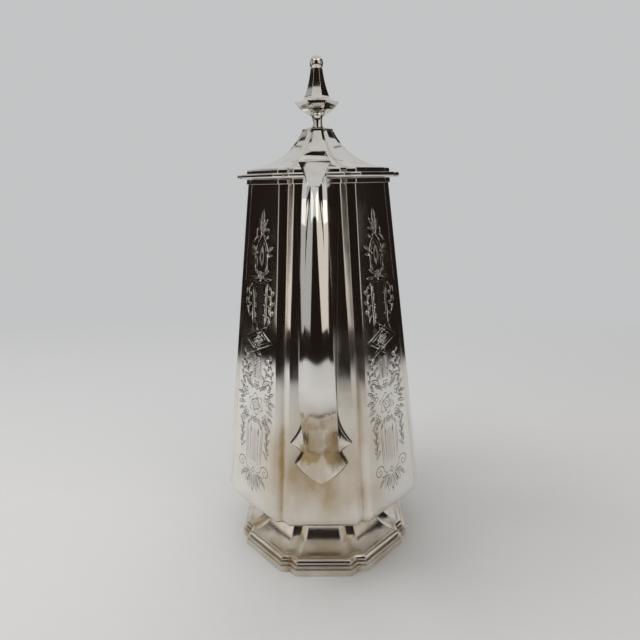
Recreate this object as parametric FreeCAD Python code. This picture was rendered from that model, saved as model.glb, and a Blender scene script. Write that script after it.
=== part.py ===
import FreeCAD, Part
import math
import os

# A panelled silver coffee pot with a hinged lid, in millimetres. The origin is the centre of the
# foot's underside, +Z is up, the spout points along +X and the handle along -X.
# "across" is a size across two opposite flat sides of an eight-sided form. Between two panels the
# corner is notched: two narrow faces, each as wide as the notch, run parallel to the panels.

# How far a form that cuts another runs past it
cut_past = 1.0

# Foot
foot_across = 97.0
foot_notch = 4.8
foot_band_height = 3.6
foot_bead_radius = 0.7
foot_rim_height = 8.0
foot_rim_width = 7.0
foot_ledge_across = 87.0
foot_cove_sag = 3.4
foot_cove_height = 13.5
foot_wall = 1.4
foot_height = 25.8
neck_across = 62.0

# Body
body_height = 178.2
body_top_across = 69.2
body_widest_across = 107.1
body_widest_height = 15.5
body_bottom_slope = 20.0
body_bottom_radius = 9.0
body_notch = 4.1
body_wall = 1.1
floor_seam_height = 4.4
rim_band_height = 1.8
rim_cap_height = 0.6
rim_proud = 0.8

# Lid
lid_gap = 0.3
lid_overhang = 5.15
lid_notch = 4.3
lid_flange_thickness = 2.1
lid_step_inset = 4.55
lid_step_height = 2.5
lid_step_round = 1.2
lid_step_bow = 0.24
lid_ring_overlap = 1.8
dome_foot_inset = 3.2
dome_top_across = 16.0
dome_top_notch = 1.6
dome_height = 17.5
dome_sag = 3.45
dome_wall = 1.0
bezel_depth = 4.0
bezel_wall = 1.2
bezel_clearance = 0.8

# Finial
collar_across = 15.2
collar_height = 2.0
collar_top_across = 12.0
stem_diameter = 6.0
stem_height = 5.4
stem_waist = 0.5
cup_foot_across = 6.4
cup_height = 5.9
cup_bulge = 0.7
cup_edge_across = 21.7
cap_height = 4.1
cap_sag = 1.1
spire_foot_across = 11.1
spire_top_across = 5.8
spire_height = 11.4
spire_sag = 0.35
ball_diameter = 7.0
ball_seat_depth = 1.0
stud_diameter = 3.0
stud_clearance = 0.05
stud_below_nut = 1.5
stud_grip = 4.0
nut_across = 6.0
nut_height = 2.6
washer_diameter = 9.0
washer_thickness = 1.0

# Hinge
hinge_length = 8.6
hinge_knuckles = 3
hinge_knuckle_radius = 2.2
hinge_pin_radius = 1.0
hinge_pin_clearance = 0.05
hinge_end_gap = 0.2
hinge_clearance = 0.55
hinge_height = 1.0
hinge_shelf_thickness = 3.6
hinge_leaf_length = 3.4
hinge_leaf_thickness = 1.6

# Handle
handle_thickness = 8.0
handle_top_width = 8.4
handle_foot_width = 17.7
handle_bevel = 1.8
arm_rise_angle = 24.0
arm_corner_reach = 76.0
arm_corner_lead = 17.0
bow_corner_lead = 28.0
bow_top_lean = 22.0
socket_margin = 1.3
socket_width = 9.4
socket_height = 13.5
socket_bevel = 1.4
handle_belly_reach = 94.8
handle_belly_height = 158.7
handle_bend_reach = 97.8
handle_bend_height = 130.0
handle_sink = 2.8
arm_fall_angle = 50.0
corner_pull = 0.88
landing_pull = 0.18
spur_width = 12.0
spur_length = 19.0
spur_thickness = 3.4
spur_rise = 1.3
spur_arch = 3.2
spur_top_bow = 1.2
spur_lip_bow = 0.5
spur_apron_reach = 8.9
spur_apron_drop = 13.7
shield_width = 24.5
shield_tip_height = 60.6
shield_shoulder_height = 71.0
shield_top_height = 92.0
shield_neck_width = 15.0
shield_thickness = 3.4
shield_edge_bow = 1.2
ears_width = 30.0
ears_height = 80.5
ears_foot_height = 74.0
ears_top_height = 100.0
ears_thickness = 1.8
ears_foot_bow = 0.8
ears_top_bow = 2.4

# Spout
spout_wall = 1.1
spout_corner = 0.29
spout_collar_margin = 3.0
spout_collar_thickness = 1.6
strainer_thickness = 1.0
strainer_margin = 3.0
strainer_hole_diameter = 2.6
strainer_hole_pitch = 4.2
strainer_columns = 3
strainer_rows = 6
# Places along the spout: distance out from the panel at the spout's root, height, heading above
# the horizontal, depth and width.
spout_places = (
    (-8.8, 82.0, 6.0, 39.0, 26.0),
    (9.2, 90.0, 40.0, 30.5, 22.0),
    (21.0, 113.0, 70.0, 22.0, 17.5),
    (28.0, 152.0, 79.0, 16.5, 14.0),
    (43.73, 201.0, 58.0, 12.4, 11.6),
)

# Heights and places that follow from the sizes above
turn_of_side = 45.0
notch_depth_share = math.sin(math.radians(turn_of_side))
body_base = foot_height
body_top = body_base + body_height
rim_top = body_top + rim_cap_height
flange_base = rim_top + lid_gap
flange_top = flange_base + lid_flange_thickness
step_top = flange_top + lid_step_height
dome_top = step_top + dome_height
collar_top = dome_top + collar_height
stem_top = collar_top + stem_height
cup_top = stem_top + cup_height
cap_top = cup_top + cap_height
spire_top = cap_top + spire_height
side_lean = (body_widest_across - body_top_across) / 2.0 / (body_height - body_widest_height)
lid_across = body_top_across + 2.0 * lid_overhang
lid_step_across = lid_across - 2.0 * lid_step_inset
dome_foot_across = lid_step_across - 2.0 * dome_foot_inset
hinge_x = -(lid_across / 2.0 + hinge_knuckle_radius + hinge_clearance)
hinge_z = flange_top + hinge_height
arm_root_reach = -hinge_x + hinge_knuckle_radius + socket_margin
reach = 4.0 * max(foot_across, body_widest_across, lid_across)
X_AXIS = FreeCAD.Vector(1, 0, 0)
Y_AXIS = FreeCAD.Vector(0, 1, 0)
Z_AXIS = FreeCAD.Vector(0, 0, 1)
ORIGIN = FreeCAD.Vector(0, 0, 0)


def side_at(height):
    """Half the body's size across its panels, at a height on the straight taper."""
    return body_top_across / 2.0 + (body_top - height) * side_lean


def point(place):
    """A point of the upright middle plane from (distance out, height)."""
    return FreeCAD.Vector(place[0], 0, place[1])


def bowed(start, end, sag):
    """The middle of an arc from start to end, bowed to the left of the way by sag."""
    along = (end[0] - start[0], end[1] - start[1])
    length = math.hypot(*along)
    middle = ((start[0] + end[0]) / 2.0, (start[1] + end[1]) / 2.0)
    return (middle[0] - along[1] / length * sag, middle[1] + along[0] / length * sag)


def rounded(before, corner, after, radius):
    """The first tangent point, the arc's middle and the second tangent point at a rounded corner."""
    back = point(before).sub(point(corner)).normalize()
    on = point(after).sub(point(corner)).normalize()
    half = back.getAngle(on) / 2.0
    cut = radius / math.tan(half)
    bisector = back.add(on).normalize()
    deep = radius / math.sin(half) - radius
    places = [back * cut, bisector * deep, on * cut]
    return [(corner[0] + place.x, corner[1] + place.z) for place in places]


def trace(start, *steps):
    """Edges from place to place: a step of two places is an arc by way of the first."""
    edges = []
    here = point(start)
    for step in steps:
        if isinstance(step[0], tuple):
            there = point(step[1])
            edges.append(Part.Arc(here, point(step[0]), there).toShape())
        else:
            there = point(step)
            edges.append(Part.LineSegment(here, there).toShape())
        here = there
    return edges


def bar(edges, turn):
    """A profile with its mirror image, drawn out sideways and turned about the upright axis."""
    mirrored = [edge.mirror(ORIGIN, X_AXIS) for edge in edges]
    ends = (edges[0].Vertexes[0].Point, edges[-1].Vertexes[-1].Point)
    closing = [Part.makeLine(end, FreeCAD.Vector(-end.x, 0, end.z)) for end in ends]
    outline = Part.Wire(Part.__sortEdges__(edges + mirrored + closing))
    drawn = Part.Face(outline).extrude(Y_AXIS * 2.0 * reach)
    drawn.translate(Y_AXIS * -reach)
    drawn.rotate(ORIGIN, Z_AXIS, turn)
    return drawn


def crossed(edges, turn):
    """The square form whose four sides all have the profile."""
    return bar(edges, turn).common(bar(edges, turn + 90.0))


def panelled(profile, notch, top_notch=None):
    """Eight panels that follow profile(inset, top_inset), with a notch of that width between them."""
    depth = notch * notch_depth_share
    top_depth = depth if top_notch is None else top_notch * notch_depth_share
    full = profile(0.0, 0.0)
    if not depth:
        return crossed(full, 0.0).common(crossed(full, turn_of_side))
    inset = profile(depth, top_depth)
    sides = crossed(full, 0.0).common(crossed(inset, turn_of_side))
    diagonals = crossed(inset, 0.0).common(crossed(full, turn_of_side))
    return sides.fuse(diagonals).removeSplitter()


def upright(half, low, high, notch):
    """A straight eight-sided block between two heights."""
    return panelled(lambda inset, top: trace((half - inset, low), (half - inset, high)), notch)


def rod(radius, low, high):
    """A round bar on the pot's axis."""
    return Part.makeCylinder(radius, high - low, FreeCAD.Vector(0, 0, low))


def foot_rim():
    """Stepped base moulding: a band, a bead, a riser and a rounded ledge, open underneath."""
    half = foot_across / 2.0
    ledge = foot_ledge_across / 2.0
    bead_top = foot_band_height + 2.0 * foot_bead_radius
    groove = half - 2.0 * foot_bead_radius
    riser = groove - foot_bead_radius
    riser_top = (bead_top + foot_rim_height) / 2.0

    def profile(inset, top_inset):
        bead_side = (groove + foot_bead_radius - inset, foot_band_height + foot_bead_radius)
        shoulder = (riser - inset, riser_top)
        edge = (ledge - inset, foot_rim_height)
        return trace(
            (half - inset, 0.0),
            (half - inset, foot_band_height),
            (groove - inset, foot_band_height),
            (bead_side, (groove - inset, bead_top)),
            (riser - inset, bead_top),
            shoulder,
            (bowed(shoulder, edge, -foot_bead_radius), edge),
        )

    hollow = upright(half - foot_rim_width, -cut_past, foot_rim_height + cut_past, foot_notch)
    return panelled(profile, foot_notch).cut(hollow)


def foot_cove():
    """Hollow concave sweep from the ledge up to the neck, which carries the body."""
    ledge = foot_ledge_across / 2.0 - foot_bead_radius
    neck = neck_across / 2.0
    cove_top = foot_rim_height + foot_cove_height

    def profile(drop):
        def at(inset, top_inset):
            start = (ledge - drop - inset, foot_rim_height - drop)
            end = (neck - drop - inset, cove_top - drop)
            return trace(start, (bowed(start, end, foot_cove_sag), end), (end[0], foot_height + drop))
        return at

    below = upright(ledge, foot_rim_height - foot_wall, foot_rim_height, 0.0)
    sweep = panelled(profile(0.0), foot_notch)
    return sweep.cut(panelled(profile(foot_wall), foot_notch)).cut(below)


def body_form(wall):
    """The body's form, drawn in by a wall: sloping bottom, rounded turn and straight taper."""
    slope = math.radians(body_bottom_slope)
    lean = math.atan(side_lean)
    side_shift = wall / math.cos(lean)
    lift = wall / math.cos(slope)
    neck = neck_across / 2.0
    overshoot = wall
    top = body_top + overshoot

    def profile(inset, top_inset):
        start = (neck - inset, body_base + lift)
        end = (side_at(top) - side_shift - inset, top)
        across = side_at(start[1]) - side_shift - neck
        corner_out = across / (1.0 + side_lean * math.tan(slope))
        corner = (start[0] + corner_out, start[1] + corner_out * math.tan(slope))
        before, middle, after = rounded(start, corner, end, body_bottom_radius - wall)
        return trace(start, before, (middle, after), end)

    return panelled(profile, body_notch)


def mouth_rim():
    """Thin band round the outside of the mouth, which also caps the wall's edge."""
    low = body_top - rim_band_height

    def profile(inset, top_inset):
        return trace(
            (side_at(low) + rim_proud - inset, low),
            (side_at(body_top) + rim_proud - inset, body_top),
            (side_at(body_top) + rim_proud - inset, rim_top),
        )

    band = panelled(profile, body_notch).cut(body_form(0.0))
    return band.cut(upright(mouth_half(), low, rim_top + cut_past, body_notch))


def mouth_half():
    """Half the mouth's size across, inside the wall's top edge."""
    return side_at(body_top) - body_wall / math.cos(math.atan(side_lean))


def panel_point(across, height, out, front=1.0):
    """A point over the spout's panel (front 1) or the handle's panel (front -1), out along its normal."""
    lean = math.atan(side_lean)
    x = side_at(height) + out * math.cos(lean)
    return FreeCAD.Vector(front * x, across, height + out * math.sin(lean))


def panel_half(height):
    """Half the width of a panel's flat inside the wall, at a height."""
    half_turn = math.radians(turn_of_side / 2.0)
    return (side_at(height) - body_wall) * math.tan(half_turn) - body_notch


def panel_normal(front):
    """The outward normal of the spout's or the handle's panel."""
    lean = math.atan(side_lean)
    return FreeCAD.Vector(front * math.cos(lean), 0, math.sin(lean))


def panel_plate(half_outline, low, high, front):
    """A plate over a panel, between two distances out; the half outline goes from foot to top.

    A place in the outline is (half width, height); a step of two places is an arc."""
    def edges(side):
        made = []
        here = half_outline[0]
        for step in half_outline[1:]:
            stops = step if isinstance(step[0], tuple) else (step,)
            spots = [panel_point(side * spot[0], spot[1], low, front) for spot in (here,) + stops]
            if len(spots) == 3:
                made.append(Part.Arc(*spots).toShape())
            else:
                made.append(Part.LineSegment(*spots).toShape())
            here = stops[-1]
        return made

    outline = edges(1.0) + edges(-1.0)
    last = half_outline[-1]
    top = last[-1] if isinstance(last[0], tuple) else last
    for width, height in (half_outline[0], top):
        if width:
            ends = [panel_point(side * width, height, low, front) for side in (1.0, -1.0)]
            outline.append(Part.makeLine(*ends))
    face = Part.Face(Part.Wire(Part.__sortEdges__(outline)))
    return face.extrude(panel_normal(front) * (high - low))


def lid_flange():
    """Wide lower plate of the lid, with a rounded edge, round the bezel."""
    half = lid_across / 2.0
    nose = lid_flange_thickness / 2.0

    def profile(inset, top_inset):
        low = (half - nose / 2.0 - inset, flange_base)
        high = (half - nose / 2.0 - inset, flange_top)
        return trace(low, ((half - inset, flange_base + nose), high))

    hole = upright(bezel_half(), flange_base - cut_past, flange_top + cut_past, body_notch)
    return panelled(profile, lid_notch).cut(hole)


def bezel_half():
    """Half the bezel's size across, clear of the mouth."""
    return mouth_half() - bezel_clearance


def lid_bezel():
    """Band under the lid that drops into the mouth."""
    low = rim_top - bezel_depth
    inside = upright(bezel_half() - bezel_wall, low - cut_past, flange_top + cut_past, body_notch)
    return upright(bezel_half(), low, flange_top, body_notch).cut(inside)


def lid_step():
    """Narrower moulding on the flange, rounded over at its top."""
    half = lid_step_across / 2.0

    def profile(inset, top_inset):
        side = (half - inset, step_top - lid_step_round)
        top = (half - lid_step_round - inset, step_top)
        return trace((half - inset, flange_top), side, (bowed(side, top, -lid_step_bow), top))

    inner = dome_foot_across / 2.0 - lid_ring_overlap
    hole = upright(inner, flange_top - cut_past, step_top + cut_past, lid_notch)
    return panelled(profile, lid_notch).cut(hole)


def stud_hole(low, high):
    """The hole that the finial's stud passes through."""
    return rod(stud_diameter / 2.0 + stud_clearance, low, high)


def lid_dome():
    """Concave panelled cover whose notches narrow towards the finial."""
    foot = dome_foot_across / 2.0
    top = dome_top_across / 2.0

    def profile(drop):
        def at(inset, top_inset):
            start = (foot - drop - inset, step_top - drop)
            end = (top - drop - top_inset, dome_top - drop)
            return trace(start, (bowed(start, end, dome_sag), end))
        return at

    below = upright(foot, step_top - dome_wall, step_top, 0.0)
    cover = panelled(profile(0.0), lid_notch, dome_top_notch)
    inside = panelled(profile(dome_wall), lid_notch, dome_top_notch)
    return cover.cut(inside).cut(below).cut(stud_hole(step_top, dome_top + cut_past))


def finial_collar():
    """Eight-sided collar on top of the dome."""
    def profile(inset, top_inset):
        return trace(
            (collar_across / 2.0, dome_top),
            (collar_across / 2.0, dome_top + collar_height / 2.0),
            (collar_top_across / 2.0, collar_top),
        )
    return panelled(profile, 0.0).cut(stud_hole(dome_top - cut_past, collar_top + cut_past))


def finial_stem():
    """Round stem, drawn in at its waist."""
    radius = stem_diameter / 2.0
    start = (radius, collar_top)
    end = (radius, stem_top)
    side = trace(start, (bowed(start, end, stem_waist), end), (0.0, stem_top), (0.0, collar_top), start)
    turned = Part.Face(Part.Wire(side)).revolve(ORIGIN, Z_AXIS, 360.0)
    return turned.cut(stud_hole(collar_top - cut_past, stem_top + cut_past))


def finial_cup():
    """Eight-sided cup that swells to the finial's widest edge."""
    start = (cup_foot_across / 2.0, stem_top)
    end = (cup_edge_across / 2.0, cup_top)
    cup = panelled(lambda inset, top: trace(start, (bowed(start, end, -cup_bulge), end)), 0.0)
    return cup.cut(stud_hole(stem_top - cut_past, stem_top + stud_grip + stud_clearance))


def finial_cap():
    """Eight-sided concave roof over the cup."""
    start = (cup_edge_across / 2.0, cup_top)
    end = (spire_foot_across / 2.0, cap_top)
    return panelled(lambda inset, top: trace(start, (bowed(start, end, cap_sag), end)), 0.0)


def finial_spire():
    """Slim eight-sided spire."""
    start = (spire_foot_across / 2.0, cap_top)
    end = (spire_top_across / 2.0, spire_top)
    return panelled(lambda inset, top: trace(start, (bowed(start, end, spire_sag), end)), 0.0)


def finial_ball(spire):
    """Ball that sits on the spire's tip, with a flat where they are soldered."""
    radius = ball_diameter / 2.0
    ball = Part.makeSphere(radius, FreeCAD.Vector(0, 0, spire_top - ball_seat_depth + radius))
    below = Part.makeCylinder(ball_diameter, ball_diameter, FreeCAD.Vector(0, 0, spire_top - ball_diameter))
    return ball.cut(below).cut(spire)


def finial_fixings():
    """The stud, and the washer and nut that draw the finial down from inside the lid."""
    ceiling = dome_top - dome_wall
    washer_base = ceiling - washer_thickness
    nut_base = washer_base - nut_height
    stud = rod(stud_diameter / 2.0, nut_base - stud_below_nut, stem_top + stud_grip)
    washer = rod(washer_diameter / 2.0, washer_base, ceiling).cut(stud_hole(washer_base, ceiling))
    corner = nut_across / 2.0 / math.cos(math.radians(30.0))
    turns = [math.radians(60.0 * count) for count in range(7)]
    corners = [FreeCAD.Vector(corner * math.cos(turn), corner * math.sin(turn), nut_base) for turn in turns]
    nut = Part.Face(Part.makePolygon(corners)).extrude(Z_AXIS * nut_height)
    return stud, washer, nut.cut(stud_hole(nut_base, washer_base))


def hinge_bands(body_side):
    """The stretches of the hinge's length taken by the pot's or the lid's knuckles."""
    step = hinge_length / hinge_knuckles
    first = 0 if body_side else 1
    for count in range(first, hinge_knuckles, 2):
        low = -hinge_length / 2.0 + count * step
        yield low + hinge_end_gap / 2.0, low + step - hinge_end_gap / 2.0


def barrel(radius, low, high):
    """A round bar on the hinge's axis."""
    return Part.makeCylinder(radius, high - low, FreeCAD.Vector(hinge_x, low, hinge_z), Y_AXIS)


def block(low, high):
    """A box between two corners."""
    size = [end - start for start, end in zip(low, high)]
    return Part.makeBox(*size, FreeCAD.Vector(*low))


def hinge_bore():
    """The hole through all the knuckles."""
    return barrel(hinge_pin_radius + hinge_pin_clearance, -hinge_length, hinge_length)


def shelf_heights():
    """Underside and top of the hinge's shelf, which lies clear below the lid's flange."""
    top = flange_base - hinge_clearance
    return top - hinge_shelf_thickness, top


def hinge_body_knuckles(pot):
    """Bracket below the flange that carries the fixed knuckles."""
    base, top = shelf_heights()
    half = hinge_length / 2.0 - hinge_end_gap / 2.0
    back = hinge_x - hinge_knuckle_radius
    front = -lid_across / 2.0 - hinge_clearance
    seat = -mouth_half() - body_wall / 2.0
    bracket = block((back, -half, base), (seat, half, top))
    for low, high in hinge_bands(True):
        neck = block((back, low, base), (front, high, hinge_z))
        bracket = bracket.fuse(neck).fuse(barrel(hinge_knuckle_radius, low, high))
    for low, high in hinge_bands(False):
        room = barrel(hinge_knuckle_radius + hinge_clearance, low - hinge_end_gap, high + hinge_end_gap)
        bracket = bracket.cut(room)
    return bracket.cut(hinge_bore()).cut(pot).removeSplitter()


def hinge_lid_knuckles(step):
    """The lid's knuckles on a leaf that lies on the flange and butts against the step."""
    half = hinge_length / 2.0 - hinge_end_gap / 2.0
    inner = -lid_step_across / 2.0 - lid_step_round
    start = -lid_across / 2.0 + hinge_clearance
    leaf_top = flange_top + hinge_leaf_thickness
    leaf = block((start, -half, flange_top), (inner + hinge_leaf_length, half, leaf_top))
    for low, high in hinge_bands(True):
        room = barrel(hinge_knuckle_radius + hinge_clearance, low - hinge_end_gap, high + hinge_end_gap)
        leaf = leaf.cut(room)
    for low, high in hinge_bands(False):
        arm = block((hinge_x, low, flange_top), (start, high, leaf_top))
        leaf = leaf.fuse(arm).fuse(barrel(hinge_knuckle_radius, low, high))
    return leaf.cut(hinge_bore()).cut(step).removeSplitter()


def arm_corner():
    """Places on the handle's outer line: the arm's root and its corner."""
    rise = math.tan(math.radians(arm_rise_angle))
    root = (-arm_root_reach, shelf_heights()[0] - handle_bevel)
    corner = (-arm_corner_reach, root[1] + (arm_corner_reach - arm_root_reach) * rise)
    return root, corner


def bent(start, start_heading, end, end_heading, pull):
    """A smooth curve between two places that leaves and arrives along two headings."""
    first = (start[0] + start_heading[0] * pull, start[1] + start_heading[1] * pull)
    second = (end[0] - end_heading[0] * pull, end[1] - end_heading[1] * pull)
    curve = Part.BezierCurve()
    curve.setPoles([point(start), point(first), point(second), point(end)])
    return curve.toShape()


def strap_line(depth):
    """The handle's line from the arm's root to the shield, at a depth under its outer face."""
    root, corner = arm_corner()
    slant = math.radians(arm_rise_angle)
    away = (-math.cos(slant), math.sin(slant))
    lowered = depth / math.cos(slant)
    start = (root[0], root[1] - lowered)
    lead = arm_corner_lead - depth / 2.0
    corner_drop = lowered + depth * math.tan(slant)
    before_corner = (corner[0] + depth - away[0] * lead, corner[1] - corner_drop - away[1] * lead)

    lean = math.radians(bow_top_lean)
    along_bow = (-bow_corner_lead * math.sin(lean), -bow_corner_lead * math.cos(lean))
    drop_top = point((corner[0] + along_bow[0], corner[1] + along_bow[1]))
    belly = point((-handle_belly_reach, handle_belly_height))
    bend = point((-handle_bend_reach, handle_bend_height))
    bow = Part.Arc(drop_top, belly, bend).toShape().Curve
    ways = [spot.sub(bow.Center).normalize() for spot in (drop_top, belly, bend)]
    spots = [bow.Center.add(way * (bow.Radius - depth)) for way in ways]
    places = [(spot.x, spot.z) for spot in spots]
    headings = [(-way.z, way.x) for way in ways]

    share = depth / handle_thickness
    landing_height = shield_shoulder_height + share * (shield_top_height - shield_shoulder_height)
    landing = panel_point(0.0, landing_height, handle_sink - share * shield_thickness, -1.0)
    end = (landing.x, landing.z)
    fall = math.radians(share * arm_fall_angle)
    into = (math.sin(fall) - side_lean * (1.0 - share), -math.cos(fall))
    sweep = math.hypot(places[2][0] - end[0], places[2][1] - end[1])

    edges = trace(start, before_corner)
    edges.append(bent(before_corner, away, places[0], headings[0], lead * corner_pull))
    edges.append(Part.Arc(*spots).toShape())
    edges.append(bent(places[2], headings[2], end, into, sweep * landing_pull))
    return edges


def strap_outline(inset, side):
    """The handle's side outline, drawn in all round, on its slanted flank (side 1 or -1)."""
    outer = strap_line(inset)
    inner = strap_line(handle_thickness - inset)
    foot = Part.makeLine(outer[-1].Vertexes[-1].Point, inner[-1].Vertexes[-1].Point)
    root = Part.makeLine(inner[0].Vertexes[0].Point, outer[0].Vertexes[0].Point)
    outline = Part.Wire(outer + [foot] + inner[::-1] + [root])
    top = arm_corner()[1][1]
    slope = (handle_foot_width - handle_top_width) / 2.0 / (top - shield_shoulder_height)
    half_at_zero = handle_top_width / 2.0 + slope * top + inset - handle_bevel
    flank = FreeCAD.Matrix()
    flank.A23 = -side * slope
    flank.A24 = side * half_at_zero
    return outline.transformGeometry(flank)


def handle_grip(pot, shield, ears):
    """Bevelled strap: out and up from the body, over a corner, down in a bow and in to the shield."""
    outlines = [
        strap_outline(handle_bevel, -1.0),
        strap_outline(0.0, -1.0),
        strap_outline(0.0, 1.0),
        strap_outline(handle_bevel, 1.0),
    ]
    return Part.makeLoft(outlines, True, True).cut(shield).cut(ears).cut(pot)


def handle_upper_socket(pot):
    """Bevelled block that carries the handle's arm and the hinge's shelf."""
    top = shelf_heights()[0]
    half = socket_width / 2.0
    low = top - socket_height
    corners = [
        FreeCAD.Vector(-arm_root_reach, -half, top),
        FreeCAD.Vector(-arm_root_reach, half, top),
        FreeCAD.Vector(-arm_root_reach, half, low + socket_bevel),
        FreeCAD.Vector(-arm_root_reach, half - socket_bevel, low),
        FreeCAD.Vector(-arm_root_reach, socket_bevel - half, low),
        FreeCAD.Vector(-arm_root_reach, -half, low + socket_bevel),
    ]
    return Part.Face(Part.makePolygon(corners + corners[:1])).extrude(X_AXIS * arm_root_reach).cut(pot)


def handle_spur(grip):
    """Thumb rest on the handle's corner: a leaf that rises outward to a lip, with an apron below it."""
    root, corner = arm_corner()
    rise = math.tan(math.radians(arm_rise_angle))
    lip = (corner[0] + spur_thickness / 2.0, corner[1] + spur_rise)
    tail = (lip[0] + spur_length, corner[1] - spur_length * rise)
    lip_foot = (lip[0] + spur_thickness / 2.0, lip[1] - spur_thickness)
    under = (tail[0], tail[1] - spur_thickness)
    apron = (lip_foot[0] - spur_apron_reach, lip_foot[1] - spur_apron_drop)
    inside = (lip_foot[0], under[1])
    side = trace(
        tail,
        (bowed(tail, lip, spur_top_bow), lip),
        (bowed(lip, lip_foot, -spur_lip_bow), lip_foot),
        apron,
        inside,
        under,
        tail,
    )
    leaf = Part.Face(Part.Wire(side)).extrude(Y_AXIS * spur_width)
    leaf.translate(Y_AXIS * -spur_width / 2.0)
    half = spur_width / 2.0
    middle = lip[1] - spur_arch
    top = FreeCAD.Vector(0, 0, lip[1])
    foot = FreeCAD.Vector(0, 0, under[1] - spur_thickness)
    ends = [FreeCAD.Vector(0, side_sign * half, middle) for side_sign in (1.0, -1.0)]
    arch = Part.Arc(ends[0], top, ends[1]).toShape()
    vee = [Part.makeLine(ends[1], foot), Part.makeLine(foot, ends[0])]
    lens = Part.Face(Part.Wire(Part.__sortEdges__([arch] + vee))).extrude(X_AXIS * -reach)
    return leaf.common(lens).cut(grip)


def handle_lower_plates(pot):
    """The pointed shield on the handle's panel, and the flared ears behind it."""
    half = shield_width / 2.0
    tip = (0.0, shield_tip_height)
    shoulder = (half, shield_shoulder_height)
    neck = (shield_neck_width / 2.0, (shield_shoulder_height + shield_top_height) / 2.0)
    top = (shield_neck_width / 2.0, shield_top_height)
    shield_outline = [
        tip,
        (bowed(tip, shoulder, -shield_edge_bow), shoulder),
        (bowed(shoulder, neck, shield_edge_bow), neck),
        top,
    ]
    ear_tip = (ears_width / 2.0, ears_height)
    ear_foot = (shield_neck_width / 2.0, ears_foot_height)
    ear_top = (shield_neck_width / 2.0, ears_top_height)
    ears_outline = [
        ear_foot,
        (bowed(ear_foot, ear_tip, ears_foot_bow), ear_tip),
        (bowed(ear_tip, ear_top, ears_top_bow), ear_top),
    ]
    ears = panel_plate(ears_outline, 0.0, ears_thickness, -1.0)
    shield = panel_plate(shield_outline, 0.0, shield_thickness, -1.0)
    return shield.cut(ears).cut(pot), ears.cut(pot)


def spout_wire(place, wall):
    """The spout's eight-sided section at one place, drawn in by a wall, and its way ahead."""
    past_panel, height, heading, depth, width = place
    out = side_at(spout_places[0][1]) + past_panel
    turn = math.radians(heading)
    ahead = FreeCAD.Vector(math.cos(turn), 0, math.sin(turn))
    over = FreeCAD.Vector(-math.sin(turn), 0, math.cos(turn))
    centre = FreeCAD.Vector(out, 0, height)
    half_depth = depth / 2.0 - wall
    half_width = width / 2.0 - wall
    cut = min(half_depth, half_width) * 2.0 * spout_corner
    quarter = [(half_depth, half_width - cut), (half_depth - cut, half_width)]
    half = quarter + [(-up, side) for up, side in quarter[::-1]]
    spots = half + [(up, -side) for up, side in half[::-1]]
    corners = [centre.add(over * up).add(Y_AXIS * side) for up, side in spots]
    return Part.makePolygon(corners + corners[:1]), ahead


def spout_form(wall):
    """The spout's form, drawn in by a wall."""
    return Part.makeLoft([spout_wire(place, wall)[0] for place in spout_places], True, False)


def spout_bore():
    """The spout's inside, run on straight past its root and its mouth."""
    mouth, onward = spout_wire(spout_places[-1], spout_wall)
    root, ahead = spout_wire(spout_places[0], spout_wall)
    past_mouth = Part.Face(mouth).extrude(onward * spout_wall * 2.0)
    past_root = Part.Face(root).extrude(ahead * -spout_wall * 2.0)
    return spout_form(spout_wall).fuse(past_mouth).fuse(past_root)


def spout_root_middle():
    """The height where the spout's axis passes through its panel."""
    past_panel, height, heading = spout_places[0][:3]
    return height - past_panel * math.tan(math.radians(heading))


def spout_root_outline(margin):
    """An eight-sided outline on the spout's panel, round the spout's root."""
    depth, width = spout_places[0][3:]
    half_height = depth / 2.0 + margin
    middle = spout_root_middle()
    share = 2.0 * spout_corner
    shoulder = middle + half_height - (width / 2.0 + margin) * share
    half_width = min(width / 2.0 + margin, panel_half(shoulder))
    cut = half_width * share
    return [
        (half_width - cut, middle - half_height),
        (half_width, middle - half_height + cut),
        (half_width, middle + half_height - cut),
        (half_width - cut, middle + half_height),
    ]


def spout_strainer():
    """Pierced plate soldered inside the wall, behind the spout."""
    back = -body_wall - strainer_thickness
    plate = panel_plate(spout_root_outline(strainer_margin - spout_wall), back, -body_wall, 1.0)
    middle = spout_root_middle()
    for row in range(strainer_rows):
        shift = (row % 2) * strainer_hole_pitch / 2.0
        columns = strainer_columns + 1 - row % 2
        for column in range(columns):
            across = (column - (columns - 1) / 2.0) * strainer_hole_pitch
            up = middle + (row - (strainer_rows - 1) / 2.0) * strainer_hole_pitch
            start = panel_point(across, up, back - cut_past)
            hole = Part.makeCylinder(
                strainer_hole_diameter / 2.0, strainer_thickness + 2.0 * cut_past, start, panel_normal(1.0)
            )
            plate = plate.cut(hole)
    return plate


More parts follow.
